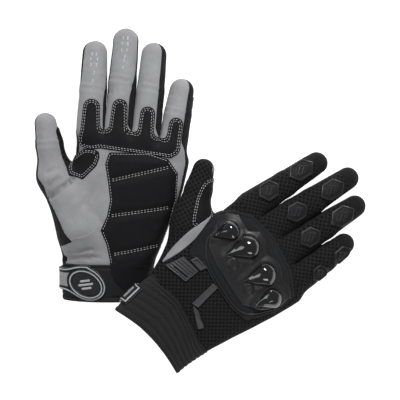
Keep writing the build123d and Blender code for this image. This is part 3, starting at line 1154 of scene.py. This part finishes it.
def on_hand(glove, corners, side, lift=0.0, spacing=0.8):
    """A run along a polyline in the hand's plan, pressed onto the skin."""
    corners = np.array(corners, float)
    along = along_run(corners)
    places = np.linspace(0, along[-1], max(int(along[-1] / spacing), 2))
    x, y = (np.interp(places, along, corners[:, i]) for i in range(2))
    points = np.stack([x * glove.breadth, y, np.full(len(x), ABOVE_HAND * side)], 1)
    rows = pressed(glove.skin_field, points, (0, 0, side))
    rows[:, :3] += rows[:, 3:6] * lift
    return rows


def pressed(field, points, direction, rounds=9):
    """Rows where the points land on field = 0 when moved along a direction that leaves the form."""
    direction = np.asarray(direction, float)
    for _ in range(rounds):
        slope = (field(points + direction * 0.3) - field(points - direction * 0.3)) / 0.6
        step = np.clip(field(points) / np.maximum(slope, 0.25), -4, 4)
        points = points - direction * step[:, None]
    return np.hstack([points, unit(gradient(field, points))])


# Along a finger: start, end, and the half width at each.
LOBES = {"index": (-6, 21.4, 9.2, 7.4), "middle": (-4, 20, 8.4, 6.7), "ring": (-6, 16.5, 7.5, 6.5),
         "pinky": (-2, 18, 6.8, 6.2)}
PALM_BAR = ((-33.6, 106.5), (-10, 102.5), (38.7, 96.2), (48, 95), (52, 99.5), (46, 106.5), (30, 111),
            (12, 116.5), (-12, 116.5), (-30, 115), (-33.8, 111.5))
CROTCH_PATCH = ((-29.7, 101.2), (-22, 100.8), (-17.2, 98.6), (-16.6, 94.6), (-19, 86.7), (-32.4, 73.9),
                (-36.2, 75.4), (-44, 77.5), (-46, 84), (-42, 91), (-35.5, 97.6))
HEEL_PAD = ((-7.2, 98.2), (27.5, 97.9), (44.2, 92), (52.4, 79.7), (51.4, 56.7), (45.2, 33.8), (39.2, 18),
            (30.7, -8), (6.8, -27), (-5.6, -15), (-6.9, -.9), (-10.3, 15.3), (-15.6, 27.9), (-10.3, 40.5),
            (-6.9, 56.7), (-8.2, 75), (-10.3, 89.5))
QUILT_LINES = (((-7.2, 73.3), (46.8, 85.5)), ((-8.1, 41.8), (46.5, 49.2)), ((-5.9, 6.7), (36, 14.4)))
THENAR_SEAM = ((-16.2, 98), (-12, 86), (-9.9, 75), (-8.9, 64), (-9.3, 54), (-13.9, 40), (-19, 31),
               (-26.5, 25.2), (-35, 22.2), (-43, 21))


def palm_overlay(glove, skin):
    """Hide across the palm under the fingers, with a lobe up each one."""
    bar = flat_outline(glove, PALM_BAR, 2.5)

    def outline(points):
        total = bar(points)
        for name, (start, end, low, high) in LOBES.items():
            u, v = glove.stalls[name].plan(points)
            total = smooth_min(total, capsule(u, v, (0, start), (0, end), low, high), 5)
        return total
    panel(glove, "palm_reinforcement", skin, outline, -1, 1.2, STITCHED_HIDE,
          stitches=(1.5, 3.0), nodes=["palm_reinforcement"])


def crotch_patch(glove, skin):
    panel(glove, "crotch_patch", skin, flat_outline(glove, CROTCH_PATCH, 2), -1, 1.0,
          STITCHED_HIDE, stitches=(1.5, 3.0))


def quilt_distance(glove, points):
    x, y = points[:, 0] / glove.breadth, points[:, 1]
    return np.min([capsule(x, y, a, b, 0.0) for a, b in QUILT_LINES], axis=0)


def inflate(mesh_points, faces, loose, pressure):
    """Cloth under pressure: how far each loose point moves. The other points stay where they are sewn."""
    mesh = bpy.data.meshes.new("inflating")
    mesh.from_pydata((mesh_points * MM).tolist(), [], faces.tolist())
    pad = bpy.data.objects.new("inflating", mesh)
    bpy.context.scene.collection.objects.link(pad)
    sewn = pad.vertex_groups.new(name="sewn")
    sewn.add(np.flatnonzero(~loose).tolist(), 1.0, "REPLACE")
    cloth = pad.modifiers.new("cloth", "CLOTH")
    cloth.settings.quality = 6
    cloth.settings.mass = 0.3
    cloth.settings.tension_stiffness = 12
    cloth.settings.compression_stiffness = 12
    cloth.settings.bending_stiffness = 1.0
    cloth.settings.vertex_group_mass = "sewn"
    cloth.settings.use_pressure = True
    cloth.settings.uniform_pressure_force = pressure
    cloth.settings.effector_weights.gravity = 0
    cloth.collision_settings.use_collision = False
    cloth.point_cache.frame_start = 1
    cloth.point_cache.frame_end = 20
    scene = bpy.context.scene
    for frame_number in range(1, 21):
        scene.frame_set(frame_number)
    result = pad.evaluated_get(bpy.context.evaluated_depsgraph_get()).to_mesh()
    moved = np.zeros(len(mesh_points) * 3)
    result.vertices.foreach_get("co", moved)
    scene.frame_set(1)
    bpy.data.objects.remove(pad)
    return moved.reshape(-1, 3) / MM - mesh_points


def heel_pad(glove, skin):
    """Padded panel: a crown between the rows of quilting, and the slight swell of a cloth simulation."""
    outline = flat_outline(glove, HEEL_PAD, 2)
    rows, faces = skin["hand", ""]
    centre = middles(rows, faces)
    rows, faces = take(rows, faces, (outline(centre) < 0) & (centre[:, 2] < -3))
    base = layer(rows, faces, 1.2, PANEL_SINK)
    loose = np.zeros(len(base.points), bool)
    loose[:len(rows)] = (outline(rows[:, :3]) < -2.5) & (quilt_distance(glove, rows[:, :3]) > 2.2)
    shift = inflate(base.points, base.faces, loose, 5.0)[:len(rows)]
    swell = np.clip((shift * rows[:, 3:6]).sum(1), 0, 1.6)

    def relief(points):
        quilt = quilt_distance(glove, points)
        foam = 1.5 * ramp(-outline(points), 1, 9) * ramp(quilt, 0.6, 7) - 0.55 * np.exp(-(quilt / 1.3) ** 2)
        nearest = nearest_values(rows[:, :2], swell, points[:, :2])
        return foam + nearest

    extra = []
    for a, b in QUILT_LINES:
        for offset in (-0.9, 0.9):
            first, last = np.array([a, b]) + (0, offset)
            run = on_hand(glove, [first * 0.97 + last * 0.03, first * 0.04 + last * 0.96], -1)
            run[:, :3] += run[:, 3:6] * (1.1 + relief(run[:, :3]))[:, None]
            extra.append(stitch_rows([run], 1, length=1.9, gap=1.0))

    def quilting(points):
        return quilt_distance(glove, points)

    panel(glove, "heel_pad", skin, outline, -1, 1.2, STITCHED_HIDE, edge=1.6,
          stitches=(1.5,), relief=relief, lines=[(quilting, 1.4)], nodes=["heel_pad"], extra=extra)


def nearest_values(places, values, wanted, reach=2.2):
    """Values at scattered places, averaged around each wanted point."""
    out = np.zeros(len(wanted))
    for start in range(0, len(wanted), 400):
        gap = ((wanted[start:start + 400, None] - places[None]) ** 2).sum(2)
        weight = np.exp(-gap / reach ** 2)
        out[start:start + 400] = (weight * values).sum(1) / (weight.sum(1) + 1e-6)
    return out


def thenar_stitches(glove):
    """Two rows of grey stitches around the ball of the thumb."""
    rows = []
    for shift in (0.0, 1.7):
        corners = np.array(THENAR_SEAM) + (shift, shift * 0.4)
        run = on_hand(glove, corners, -1, -0.05)
        rows.append(stitch_rows([run], 0, length=1.8, gap=1.0, radius=0.26))
    emit(glove, "thenar_stitches", join(rows), ["grey_thread"], body="hand")


SURROUND = ((-22, 50), (-36, 47), (-43.5, 60), (-46, 76), (-43.5, 90.5), (-36, 101), (-22, 109.5), (6, 111),
            (28, 104.5), (44, 98), (58.5, 86), (57, 66), (44, 43), (30, 40.5))
SURROUND_PIPING = ((-40, 88), (-38.5, 70), (-35, 62), (-22, 51), (0, 44.6), (28, 40.3), (40, 43.5), (49, 55),
                   (56, 68))
GUARD = ((-36.7, 71), (-28.6, 63), (-11.4, 56), (15, 50.6), (30.5, 48.7), (47, 60), (54, 72), (55.7, 84.4),
         (50, 88.6), (38.7, 89), (31, 96), (24.2, 97.3), (14.2, 95.3), (9.3, 96.7), (2.7, 103), (-5.8, 105),
         (-15, 97), (-20.3, 98.4), (-30.4, 101), (-37, 95), (-38.5, 84))
# Knuckle domes: head x, y, tail x, y, half width, height.
DOMES = (
    ((-24.2, 86.0), (-31.5, 72), 8.4, 7.0),
    ((-4.0, 87.5), (-11, 71), 10.4, 8.0),
    ((23.4, 81.5), (15.5, 65), 10.4, 8.0),
    ((43.0, 71.5), (38, 58), 8.8, 6.6),
)
# Lower bumps on the guard's wrist side: x, y, radius.
BUMPS = ((-33.5, 74.5, 4.2), (-2.5, 67.5, 5.0), (22.5, 62, 5.0), (41.5, 57, 3.8))
RIGHT_BREADTH = 1.06         # the knuckle parts' outlines are given across the right glove's breadth


def narrowed(corners):
    """Corners given across the right glove's breadth, in the plan that outlines use."""
    return [(x / RIGHT_BREADTH, y) for x, y in corners]


def knuckle_surround(glove, skin):
    outline = flat_outline(glove, narrowed(SURROUND), 5)

    def relief(points):
        distance = outline(points)
        return 0.5 * ramp(-distance, 1, 7) - 0.5 * np.exp(-((distance + 3.2) / 0.7) ** 2)

    panel(glove, "knuckle_surround", skin, outline, 1, 1.5, ["neoprene"], edge=2.0, relief=relief,
          lines=[(outline, -2.6), (outline, -3.2), (outline, -3.9)], nodes=["knuckle_surround"])
    cords = []
    for outset, lift in ((0.2, 0.7), (-2.2, 1.9)):
        corners = np.array(narrowed(SURROUND_PIPING))
        corners = corners + unit(corners - np.array([8, 78])) * outset
        run = on_hand(glove, corners, 1)
        for _ in range(30):
            run[1:-1] = (run[:-2] + run[2:]) / 2
        run[:, 3:6] = unit(run[:, 3:6])
        cords.append(cord(run, 0.75, lift, 0))
    emit(glove, "surround_piping", join(cords), ["black_cord"], body="hand")


# ---- moulded parts: fine sheets pressed onto the skin ----
def sheet(outline, low, high, step, lines):
    """Flat triangles inside an outline in the plane, with edges along lines: pairs of a field and a level."""
    xs = np.arange(low[0], high[0] + step, step)
    ys = np.arange(low[1], high[1] + step, step)
    x, y = np.meshgrid(xs, ys)
    rows = np.stack([x.ravel(), y.ravel()], 1)
    width = len(xs)
    first = (np.arange(len(ys) - 1)[:, None] * width + np.arange(width - 1)).ravel()
    faces = np.vstack([
        np.stack([first, first + 1, first + width + 1], 1),
        np.stack([first, first + width + 1, first + width], 1),
    ])
    for field, level in [(outline, 0), *lines]:
        rows, faces = cut(rows, faces, field(*rows.T) - level)
    return take(rows, faces, outline(*rows[faces].mean(1).T) < 0)


def moulded(glove, name, outline, box, relief, materials, side=1, stall=None, roll=0.0, lines=(),
            paint=None, nodes=(), body="hand", floor=-0.3, step=FINE_STEP):
    """A fine sheet inside an outline, pressed onto the skin and raised by its relief."""
    rows, faces = sheet(outline, *box, step, lines)
    x, y = rows.T
    out = np.array([0.0, 0.0, side])
    if stall:
        c, s = math.cos(math.radians(roll)), math.sin(math.radians(roll))
        out = (stall.up * c + stall.across * s) * side
        above = ABOVE_STALL * side
        points = stall.place(x * c + above * s, y, above * c - x * s)
    else:
        points = np.stack([x * glove.breadth, y, np.full(len(x), ABOVE_HAND * side)], 1)
    on_skin = pressed(glove.skin_field, points, out)
    material = paint(*rows[faces].mean(1).T) if paint else 0
    if side < 0:
        faces = faces[:, ::-1]
    solid = layer(on_skin, faces, relief(x, y), floor, material=material)
    emit(glove, name, solid, materials, nodes, body=body)


def knuckle_guard(glove):
    """Hard guard with four domed knuckles whose crowns are glossy."""
    corners = drawn_in(GUARD, 2.0)
    wide = RIGHT_BREADTH

    def outline(x, y):
        return polygon(x * wide, y, corners, 2.0)

    def dome(x, y, index):
        head, tail, radius, _ = DOMES[index]
        return capsule(x * wide, y, head, tail, radius, radius * 0.16)

    def gloss(x, y):
        return np.min([dome(x, y, i) for i in range(len(DOMES))], axis=0)

    def relief(x, y):
        distance = outline(x, y)
        height = 1.9 + 1.2 * rounded_edge(distance, 1.6) + 2.0 * ramp(-distance, 0, 16)
        for i, (head, tail, radius, top) in enumerate(DOMES):
            field = dome(x, y, i)
            ahead = unit(np.array(head, float) - np.array(tail))
            along = (x * wide - tail[0]) * ahead[0] + (y - tail[1]) * ahead[1]
            size = ramp(along, -4, np.hypot(head[0] - tail[0], head[1] - tail[1]) * 0.9)
            height = height + 1.3 * ramp(-field, -6.5, 0) * (1 - 0.4 * ramp(-field, 0, 3))
            height = height + top * rounded_edge(field, radius) * (0.22 + 0.78 * size)
            height = height - 0.5 * np.exp(-(field / 0.5) ** 2)
        for bx, by, radius in BUMPS:
            bump = np.hypot(x * wide - bx, y - by) - radius
            height = height + 1.5 * rounded_edge(bump, radius)
        return height

    moulded(glove, "knuckle_guard", outline, ((-40, 45), (56, 108)), relief, ["hard_shell", "gloss_dome"],
            lines=[(outline, -0.4), (outline, -1.6), (gloss, 0.5), (gloss, 0), (gloss, -0.6)],
            paint=lambda x, y: (gloss(x, y) < 0).astype(int), nodes=["knuckle_guard"], floor=1.3)


def hexagon(half_length, half_width):
    return [(0, -half_length), (half_width, -half_length * 0.45), (half_width, half_length * 0.5),
            (0, half_length), (-half_width, half_length * 0.5), (-half_width, -half_length * 0.45)]


def finger_pad(glove, stall, key, centre):
    """Six-sided rubber pad with a raised rim, an inner lozenge and slanting strokes. The rim, the lozenge's
    edge and the strokes take the glossier, slightly lighter hard_shell; on the rim and the lozenge's edge
    that lighter colour is a painted highlight.
    """
    small = 0.82 if stall.name == "pinky" else 1.0
    start = centre + (0 if key == "proximal" else stall.base - 1)
    length = 9.8 if key == "proximal" else 12.4
    corners = [(x, y + start) for x, y in hexagon(length * small, 6.9 * small)]
    ways = np.array([(0, -1), (1, 0), (0, 1), (-1, 0)])
    lozenge_corners = ways * (4.2 * small, 6.2 * small) + (0, start)

    def outline(x, y):
        return polygon(x, y, corners, 0.9)

    def lozenge(x, y):
        return polygon(x, y, lozenge_corners, 0.5)

    def stroke(x, y):
        """Distance from the middle of the nearest slanting stroke."""
        return np.abs(((x * 0.8 + (y - start) * 0.6) % 3.0) - 1.5)

    def relief(x, y):
        distance, inner = outline(x, y), lozenge(x, y)
        height = 0.3 + 1.4 * rounded_edge(distance, 0.8)
        height = height - 0.75 * ramp(-distance, 1.5, 2.0) + 0.6 * ramp(-inner, -0.2, 0.5)
        return height - 0.55 * ramp(-inner, 0.9, 1.3) * ramp(0.55 - stroke(x, y), -0.2, 0.2)

    def paint(x, y):
        distance, inner = outline(x, y), lozenge(x, y)
        # Painted highlight: the raised rim and the lozenge's edge get the lighter hard_shell colour to stand
        # for light catching them, along with its real lower roughness; the strokes take the same material.
        rim = (distance < -0.35) & (distance > -1.5)
        painted_highlight_lozenge_edge = (inner < 0.2) & (inner > -0.5)
        return (rim | painted_highlight_lozenge_edge | ((inner < -0.9) & (stroke(x, y) < 0.6))).astype(int)

    edges = [(outline, level) for level in (-0.35, -0.8, -1.5, -2.0)]
    edges += [(lozenge, level) for level in (0.2, -0.5)]
    moulded(glove, f"{stall.name}_{key}_pad", outline, ((-8.5, start - 13), (8.5, start + 13)), relief,
            ["dark_rubber", "hard_shell"], stall=stall, roll=FINGERS[stall.name]["roll"],
            lines=edges, paint=paint, nodes=[f"{stall.name}_{key}_pad"], body=f"{stall.name}_{key}",
            step=FINE_STEP * 0.8)


# Middles of the dashes on a fingertip: across, and along from the middle hinge.
GRIP_DASHES = {
    "index": ((-1.8, 30.8), (1.8, 30.8), (-3, 26.2), (3, 26.2), (-2.5, 20.9), (2.5, 20.9), (0.8, 13.6),
              (0, 6.4)),
    "middle": ((-2, 37.5), (2, 37.5), (-2.5, 32.2), (2.5, 32.2), (-2.5, 26.3), (2.2, 26.3), (0.8, 20.5),
               (0.5, 16.5), (0, 10.4)),
}


def grip_dashes(glove, stall):
    """Silicone dashes printed on a fingertip."""
    base = stall.base
    spots = [(u, base + v) for u, v in GRIP_DASHES[stall.name]]

    def outline(x, y):
        return np.min([capsule(x, y, (u, v - 1.1), (u, v + 1.1), 0.8) for u, v in spots], axis=0)

    def relief(x, y):
        return 0.45 * rounded_edge(outline(x, y), 0.6)

    moulded(glove, f"{stall.name}_grip", outline, ((-5, base + 4), (5, base + 41)), relief, ["light_print"],
            side=-1, stall=stall, lines=[(outline, -0.3)], body=f"{stall.name}_distal", floor=-0.2,
            step=FINE_STEP * 0.8)


def wrist_mouldings(glove):
    """Ridged plate with a slot, a small windowed plate, and an angled bar."""
    plate = [(-39.6, 24.8), (-35.1, 40.4), (-18.3, 40.9), (-19.9, 27.2)]
    small = [(-28.9, 43.2), (-27.4, 48.6), (-15.5, 48.6), (-17.4, 43.2)]
    bar = [(-1.5, 18), (-1.5, 43), (3, 43), (3.5, 19)]
    foot = [(1, 16.5), (6, 16.5), (19, 10), (17, 6)]
    outlines = [lambda x, y, c=c: polygon(x, y, c, 0.6) for c in (plate, small, bar, foot)]

    def outline(x, y):
        return np.min([o(x, y) for o in outlines], axis=0)

    def slot(x, y):
        return capsule(x, y, (-34.2, 29.2), (-22, 30.4), 0.8)

    def window(x, y):
        return polygon(x, y, [(-27, 44.8), (-26, 47.2), (-17.6, 47.2), (-18.8, 44.8)], 0.3)

    def relief(x, y):
        height = 0.4 + 1.5 * rounded_edge(outline(x, y), 0.7)
        turn = y - x * 0.1
        ridges = 0.6 * np.cos(turn * 2 * np.pi / 2.6) * ramp(-outlines[0](x, y), 0.8, 1.4)
        height = height + ridges - 1.4 * ramp(-slot(x, y), -0.15, 0.25)
        height = height - 1.0 * ramp(-window(x, y), -0.15, 0.25)
        bars = np.minimum(outlines[2](x, y), outlines[3](x, y))
        return height - 0.35 * ramp(-bars, 1.1, 1.6)

    edges = [(outline, -0.3), (outline, -0.7)]
    edges += [(opening, level) for opening in (slot, window) for level in (0.15, -0.25)]
    moulded(glove, "wrist_mouldings", outline, ((-44, 2), (22, 56)), relief, ["moulded_rubber"],
            lines=edges, nodes=["wrist_mouldings"], step=FINE_STEP * 0.85)


def gusset(glove, skin):
    """Grey crescent of suede between the thumb and the back of the hand."""
    corners = []
    for t in np.linspace(0, 1, 14):
        corners.append((-43.5 - 3.9 * math.sin(math.pi * t), 25 + 58 * t))
    for t in np.linspace(0.94, 0.06, 12):
        corners.append((-43.5 + 3.6 * math.sin(math.pi * t), 25 + 58 * t))
    outline = plan_outline(glove, corners, 0.5)
    panel(glove, "gusset", skin, outline, 1, 1.25, ["suede"], edge=0.8)


def thumb_panel(glove, skin):
    corners = [(1.5, -2), (0, 6), (-0.6, 22), (0.4, 32), (3, 38.5), (7, 42), (18, 43.5), (18, -2)]
    stall = glove.stalls["thumb"]

    def outline(points):
        u, v = stall.plan(points)
        return polygon(u, v, corners, 0.8)
    panel(glove, "thumb_panel", skin, outline, 1, 0.9, STITCHED_HIDE,
          stitches=(1.4, 3.0))


# ---- cuff and strap ----
CUFF_BOW = {"left": -1.5, "right": 6.0}
CUFF_REACH = ((-39, -11, 11, 27), (13, 12.5, 5.5, 0))     # on the back: x, and how far the cuff runs on there
RIB_PITCH = 4.4


def cuff_point(glove, angle, y, height):
    """A point around the wrist: angle 0 at the little finger's side, 90 degrees on the back."""
    centre, wide, back, palm = glove.ring(y)
    c, s = np.cos(angle), np.sin(angle)
    high = np.where(s > 0, back, palm)
    power = 2 / HAND_POWER
    x = centre + (wide + height) * np.sign(c) * np.abs(c) ** power
    z = (high + height) * np.sign(s) * np.abs(s) ** power
    bow = CUFF_BOW[glove.side] * (1 - ((x - centre) / (wide + 3)) ** 2)
    return np.stack([x, y + bow * ramp(-y, -4, 16), z], -1)


def cuff(glove):
    """Ribbed elastic band, hemmed at its mouth and lined."""
    outer = np.arange(CUFF_SEAM + 2.2, CUFF_MOUTH + 1.4, -0.42)
    profile = [(CUFF_SEAM + 2.6, -0.6), (CUFF_SEAM + 2.4, 0.5)]
    for y in outer:
        rib = abs(math.sin(math.pi * (y - CUFF_SEAM) / RIB_PITCH)) ** 0.6
        profile.append((y, 0.6 + 1.5 * rib))
    for angle in np.linspace(0, math.pi, 7):
        profile.append((CUFF_MOUTH + 1.2 - 1.5 * math.sin(angle), -0.55 + 1.75 * math.cos(angle)))
    for y in np.arange(CUFF_MOUTH + 3, CUFF_SEAM + 2, 2.5):
        profile.append((y, -2.3))
    profile = np.array(profile)
    sides = 240
    angles = np.linspace(0, 2 * np.pi, sides, endpoint=False)
    y, angle = np.meshgrid(profile[:, 0], angles, indexing="ij")
    height = np.broadcast_to(profile[:, 1:2], y.shape)
    flatter = np.where(height > 0.6, (height - 0.6) * 0.65 * (1 - np.abs(np.sin(angle))), 0)
    points = cuff_point(glove, angle, y, height - flatter).reshape(-1, 3)
    x, along, z = points.T
    reach = np.interp(x / glove.breadth, *CUFF_REACH)
    points[:, 1] += reach * ramp(z, -4, 6) * ramp(along, CUFF_MOUTH, CUFF_SEAM)
    points = points + 0.35 * value_noise(points / 13, 21)[:, None] * unit(points * (1, 0, 1) + 1e-9)
    ring, k = np.meshgrid(np.arange(len(profile)) * sides, np.arange(sides), indexing="ij")
    beside = (k + 1) % sides
    next_ring = (ring + sides) % (len(profile) * sides)
    a, b, c, d = ring + k, ring + beside, next_ring + k, next_ring + beside
    faces = np.vstack([np.stack([a, b, d], -1).reshape(-1, 3), np.stack([a, d, c], -1).reshape(-1, 3)])
    inside = height.ravel()[faces].mean(1) < -1
    solid = outward(points, faces, inside.astype(int))
    emit(glove, "cuff", solid, ["elastic", "lining"], ["cuff_band"], body="hand")


class Wrap:
    """Places a flat (x, y) sheet around the thumb side edge of the wrist: x runs on around the edge."""

    def __init__(self, glove):
        self.glove = glove
        degrees = np.arange(-15, -290.5, -0.5)
        self.angles = np.radians(degrees)
        points = cuff_point(glove, self.angles, np.full(len(degrees), -18.0), 0.0)
        along = along_run(points)
        palm_middle = np.argmin(np.abs(degrees + 90))
        self.x = points[palm_middle, 0] + along[palm_middle] - along

    def angle(self, x):
        return np.interp(-x, -self.x, self.angles)

    def rows(self, x, y):
        angle = self.angle(x)
        points = cuff_point(self.glove, angle, y, 0.0)
        before, after = (cuff_point(self.glove, angle + turn, y, 0.0) for turn in (0.01, -0.01))
        ahead = after - before
        outward = unit(np.cross(ahead, (0.0, 1.0, 0.0)))
        return np.hstack([points, outward])


def wrapped(glove, name, outline, box, relief, materials, body, lines=(), paint=None, nodes=(),
            floor=0.0, step=FINE_STEP):
    """A fine sheet inside an outline, wrapped on the palm side of the wrist."""
    rows, faces = sheet(outline, *box, step, lines)
    x, y = rows.T
    around = Wrap(glove).rows(x * glove.breadth, y)
    if around[:, 5].mean() > 0:
        around[:, 3:6] *= -1
    material = paint(*rows[faces].mean(1).T) if paint else 0
    solid = layer(around, faces[:, ::-1], relief(x, y), floor, material=material)
    emit(glove, name, solid, materials, nodes, body=body)


STRAP_END = {"left": 70, "right": 52}     # how far the strap reaches around the thumb side edge
BADGE = dict(centre=(-29, -19), radii=(15.5, 12.5), tilt=-28)


def strap(glove):
    """Strap with piped edges that flare around an oval badge, and its hook and loop tapes."""
    body = "strap" if glove.side == "left" else "hand"
    centre, radii, tilt = BADGE["centre"], BADGE["radii"], BADGE["tilt"]

    def oval(x, y):
        return ellipse(x, y, centre, radii, tilt)

    def outline(x, y):
        tab = np.maximum(np.abs(y + 16) - 10, x + 29)
        return np.maximum(smooth_min(tab, oval(x, y) - 2.2, 7), -x - STRAP_END[glove.side])

    def relief(x, y):
        distance = outline(x, y)
        piping = np.exp(-((distance + 1.3) / 0.7) ** 2)
        return 3.2 + 0.9 * rounded_edge(distance, 1.0) + 0.45 * piping

    def paint(x, y):
        distance = outline(x, y)
        line = (distance < -0.8) & (distance > -1.9)
        band = (distance < -4.0) & (x < -36) & (oval(x, y) > 2)
        return np.where(line, 1, np.where(band, 2, 0))

    wrapped(glove, "strap", outline, ((-71, -38), (-8, 0)), relief, ["neoprene", "light_print", "suede"],
            body, lines=[(outline, -0.4), (outline, -0.8), (outline, -1.9), (outline, -4.0)],
            paint=paint, nodes=["strap"], floor=2.6)

    def ribs(x, y):
        """Three plain ribs across the badge."""
        c, s = math.cos(math.radians(tilt + 38)), math.sin(math.radians(tilt + 38))
        along = (x - centre[0]) * c + (y - centre[1]) * s
        across = -(x - centre[0]) * s + (y - centre[1]) * c
        bars = [capsule(along, across, (-reach, shift), (reach, shift), 0.95)
                for reach, shift in ((3.4, 3.4), (5.6, 0), (3.4, -3.4))]
        return np.min(bars, axis=0)

    def badge_relief(x, y):
        distance = oval(x, y)
        rim = rounded_edge(distance, 0.7) - ramp(-distance, 2.4, 2.9)
        return 4.6 + 1.6 * rim + 1.0 * ramp(-distance, 2.6, 3.2) + 0.5 * ramp(-ribs(x, y), -0.3, 0.3)

    def badge_paint(x, y):
        distance = oval(x, y)
        ring = (distance < -0.9) & (distance > -1.9)
        return (ring | (ribs(x, y) < 0)).astype(int)

    edges = [(oval, level) for level in (-0.3, -0.9, -1.9, -2.9)]
    edges += [(ribs, level) for level in (0.3, 0, -0.3)]
    wrapped(glove, "strap_badge", oval, ((-46, -36), (-12, -2)), badge_relief, ["hard_shell", "light_print"],
            body, lines=edges, paint=badge_paint, nodes=["strap_badge"], floor=4.2)

    def hook_outline(x, y):
        return polygon(x, y, [(-40, -25.5), (-22, -25.5), (-22, -10.5), (-40, -10.5)])

    def loop_outline(x, y):
        return polygon(x, y, [(-42, -29), (4, -29), (4, -7), (-42, -7)])

    wrapped(glove, "hook_patch", hook_outline, ((-41, -27), (-21, -9)), lambda x, y: np.full(x.shape, 2.5),
            ["loop_tape"], body, nodes=["hook_patch"], floor=2.25, step=1.2)
    wrapped(glove, "loop_patch", loop_outline, ((-43, -30), (5, -6)), lambda x, y: np.full(x.shape, 2.1),
            ["loop_tape"], "hand", nodes=["loop_patch"], floor=0.6, step=1.2)


def heel_tail(glove):
    """The heel pad's lower end, sewn over the elastic cuff."""
    corners = [(-6.6, -1), (-6.2, -9), (-3, -17), (3, -24), (9, -27.5), (17, -24), (25, -14), (29, -1)]

    def outline(x, y):
        return polygon(x, y, corners, 0.8)

    def relief(x, y):
        return 1.6 + 0.9 * rounded_edge(np.maximum(outline(x, y), -20), 1.2)

    wrapped(glove, "heel_tail", outline, ((-8, -30), (32, 2)), relief, ["black_hide"], "hand",
            lines=[(outline, -0.4), (outline, -1.2)])


def build_glove(side):
    glove = Glove(side)
    skin = glove.skin()
    for owner, (rows, faces) in skin.items():
        fabric(glove, owner, rows, faces)
    for name, stall in glove.stalls.items():
        liner(glove, stall)
        if name == "thumb":
            continue
        for key, centre in zip(("proximal", "distal"), FINGERS[name]["pads"]):
            finger_pad(glove, stall, key, centre)
    palm_overlay(glove, skin)
    crotch_patch(glove, skin)
    heel_pad(glove, skin)
    heel_tail(glove)
    thenar_stitches(glove)
    knuckle_surround(glove, skin)
    knuckle_guard(glove)
    wrist_mouldings(glove)
    gusset(glove, skin)
    thumb_panel(glove, skin)
    for name in ("index", "middle"):
        grip_dashes(glove, glove.stalls[name])
    cuff(glove)
    strap(glove)


# ---- stage ----
def studio():
    """White sweep, broad soft lights and a long lens straight above."""
    scene = bpy.context.scene
    scene.view_settings.view_transform = "Standard"
    world = bpy.data.worlds.new("studio")
    world.use_nodes = True
    world.node_tree.nodes["Background"].inputs["Color"].default_value = (0.95, 0.97, 1.0, 1)
    world.node_tree.nodes["Background"].inputs["Strength"].default_value = 0.22
    scene.world = world
    bpy.ops.mesh.primitive_plane_add(size=6, location=(0, 0, -0.0004))
    floor = bpy.context.object
    floor.name = "floor"
    paper = bpy.data.materials.new("paper")
    paper.use_nodes = True
    surface = paper.node_tree.nodes["Principled BSDF"]
    surface.inputs["Base Color"].default_value = (0.45, 0.45, 0.45, 1)
    surface.inputs["Roughness"].default_value = 0.9
    surface.inputs["Emission Color"].default_value = (1, 1, 1, 1)
    surface.inputs["Emission Strength"].default_value = 0.97
    floor.data.materials.append(paper)
    for name, place, size, power in (
        ("key", (0.25, 0.85, 0.78), (0.40, 0.26), 12.0),
        ("fill", (-0.9, 0.1, 1.0), (0.7, 0.7), 4.5),
        ("front", (0.3, -1.0, 0.8), (0.6, 0.3), 3.0),
    ):
        light = bpy.data.lights.new(name, "AREA")
        light.shape = "RECTANGLE"
        light.size, light.size_y = size
        light.energy = power
        lamp = bpy.data.objects.new(name, light)
        lamp.location = place
        lamp.rotation_euler = (-Vector(place)).to_track_quat("-Z", "Y").to_euler()
        scene.collection.objects.link(lamp)
    camera_data = bpy.data.cameras.new("camera")
    camera_data.lens = 128.0
    camera_data.sensor_width = 36.0
    camera = bpy.data.objects.new("camera", camera_data)
    camera.location = (-0.0012, -0.0006, 1.30)
    scene.collection.objects.link(camera)
    scene.camera = camera


for glove_side in ("left", "right"):
    build_glove(glove_side)
studio()
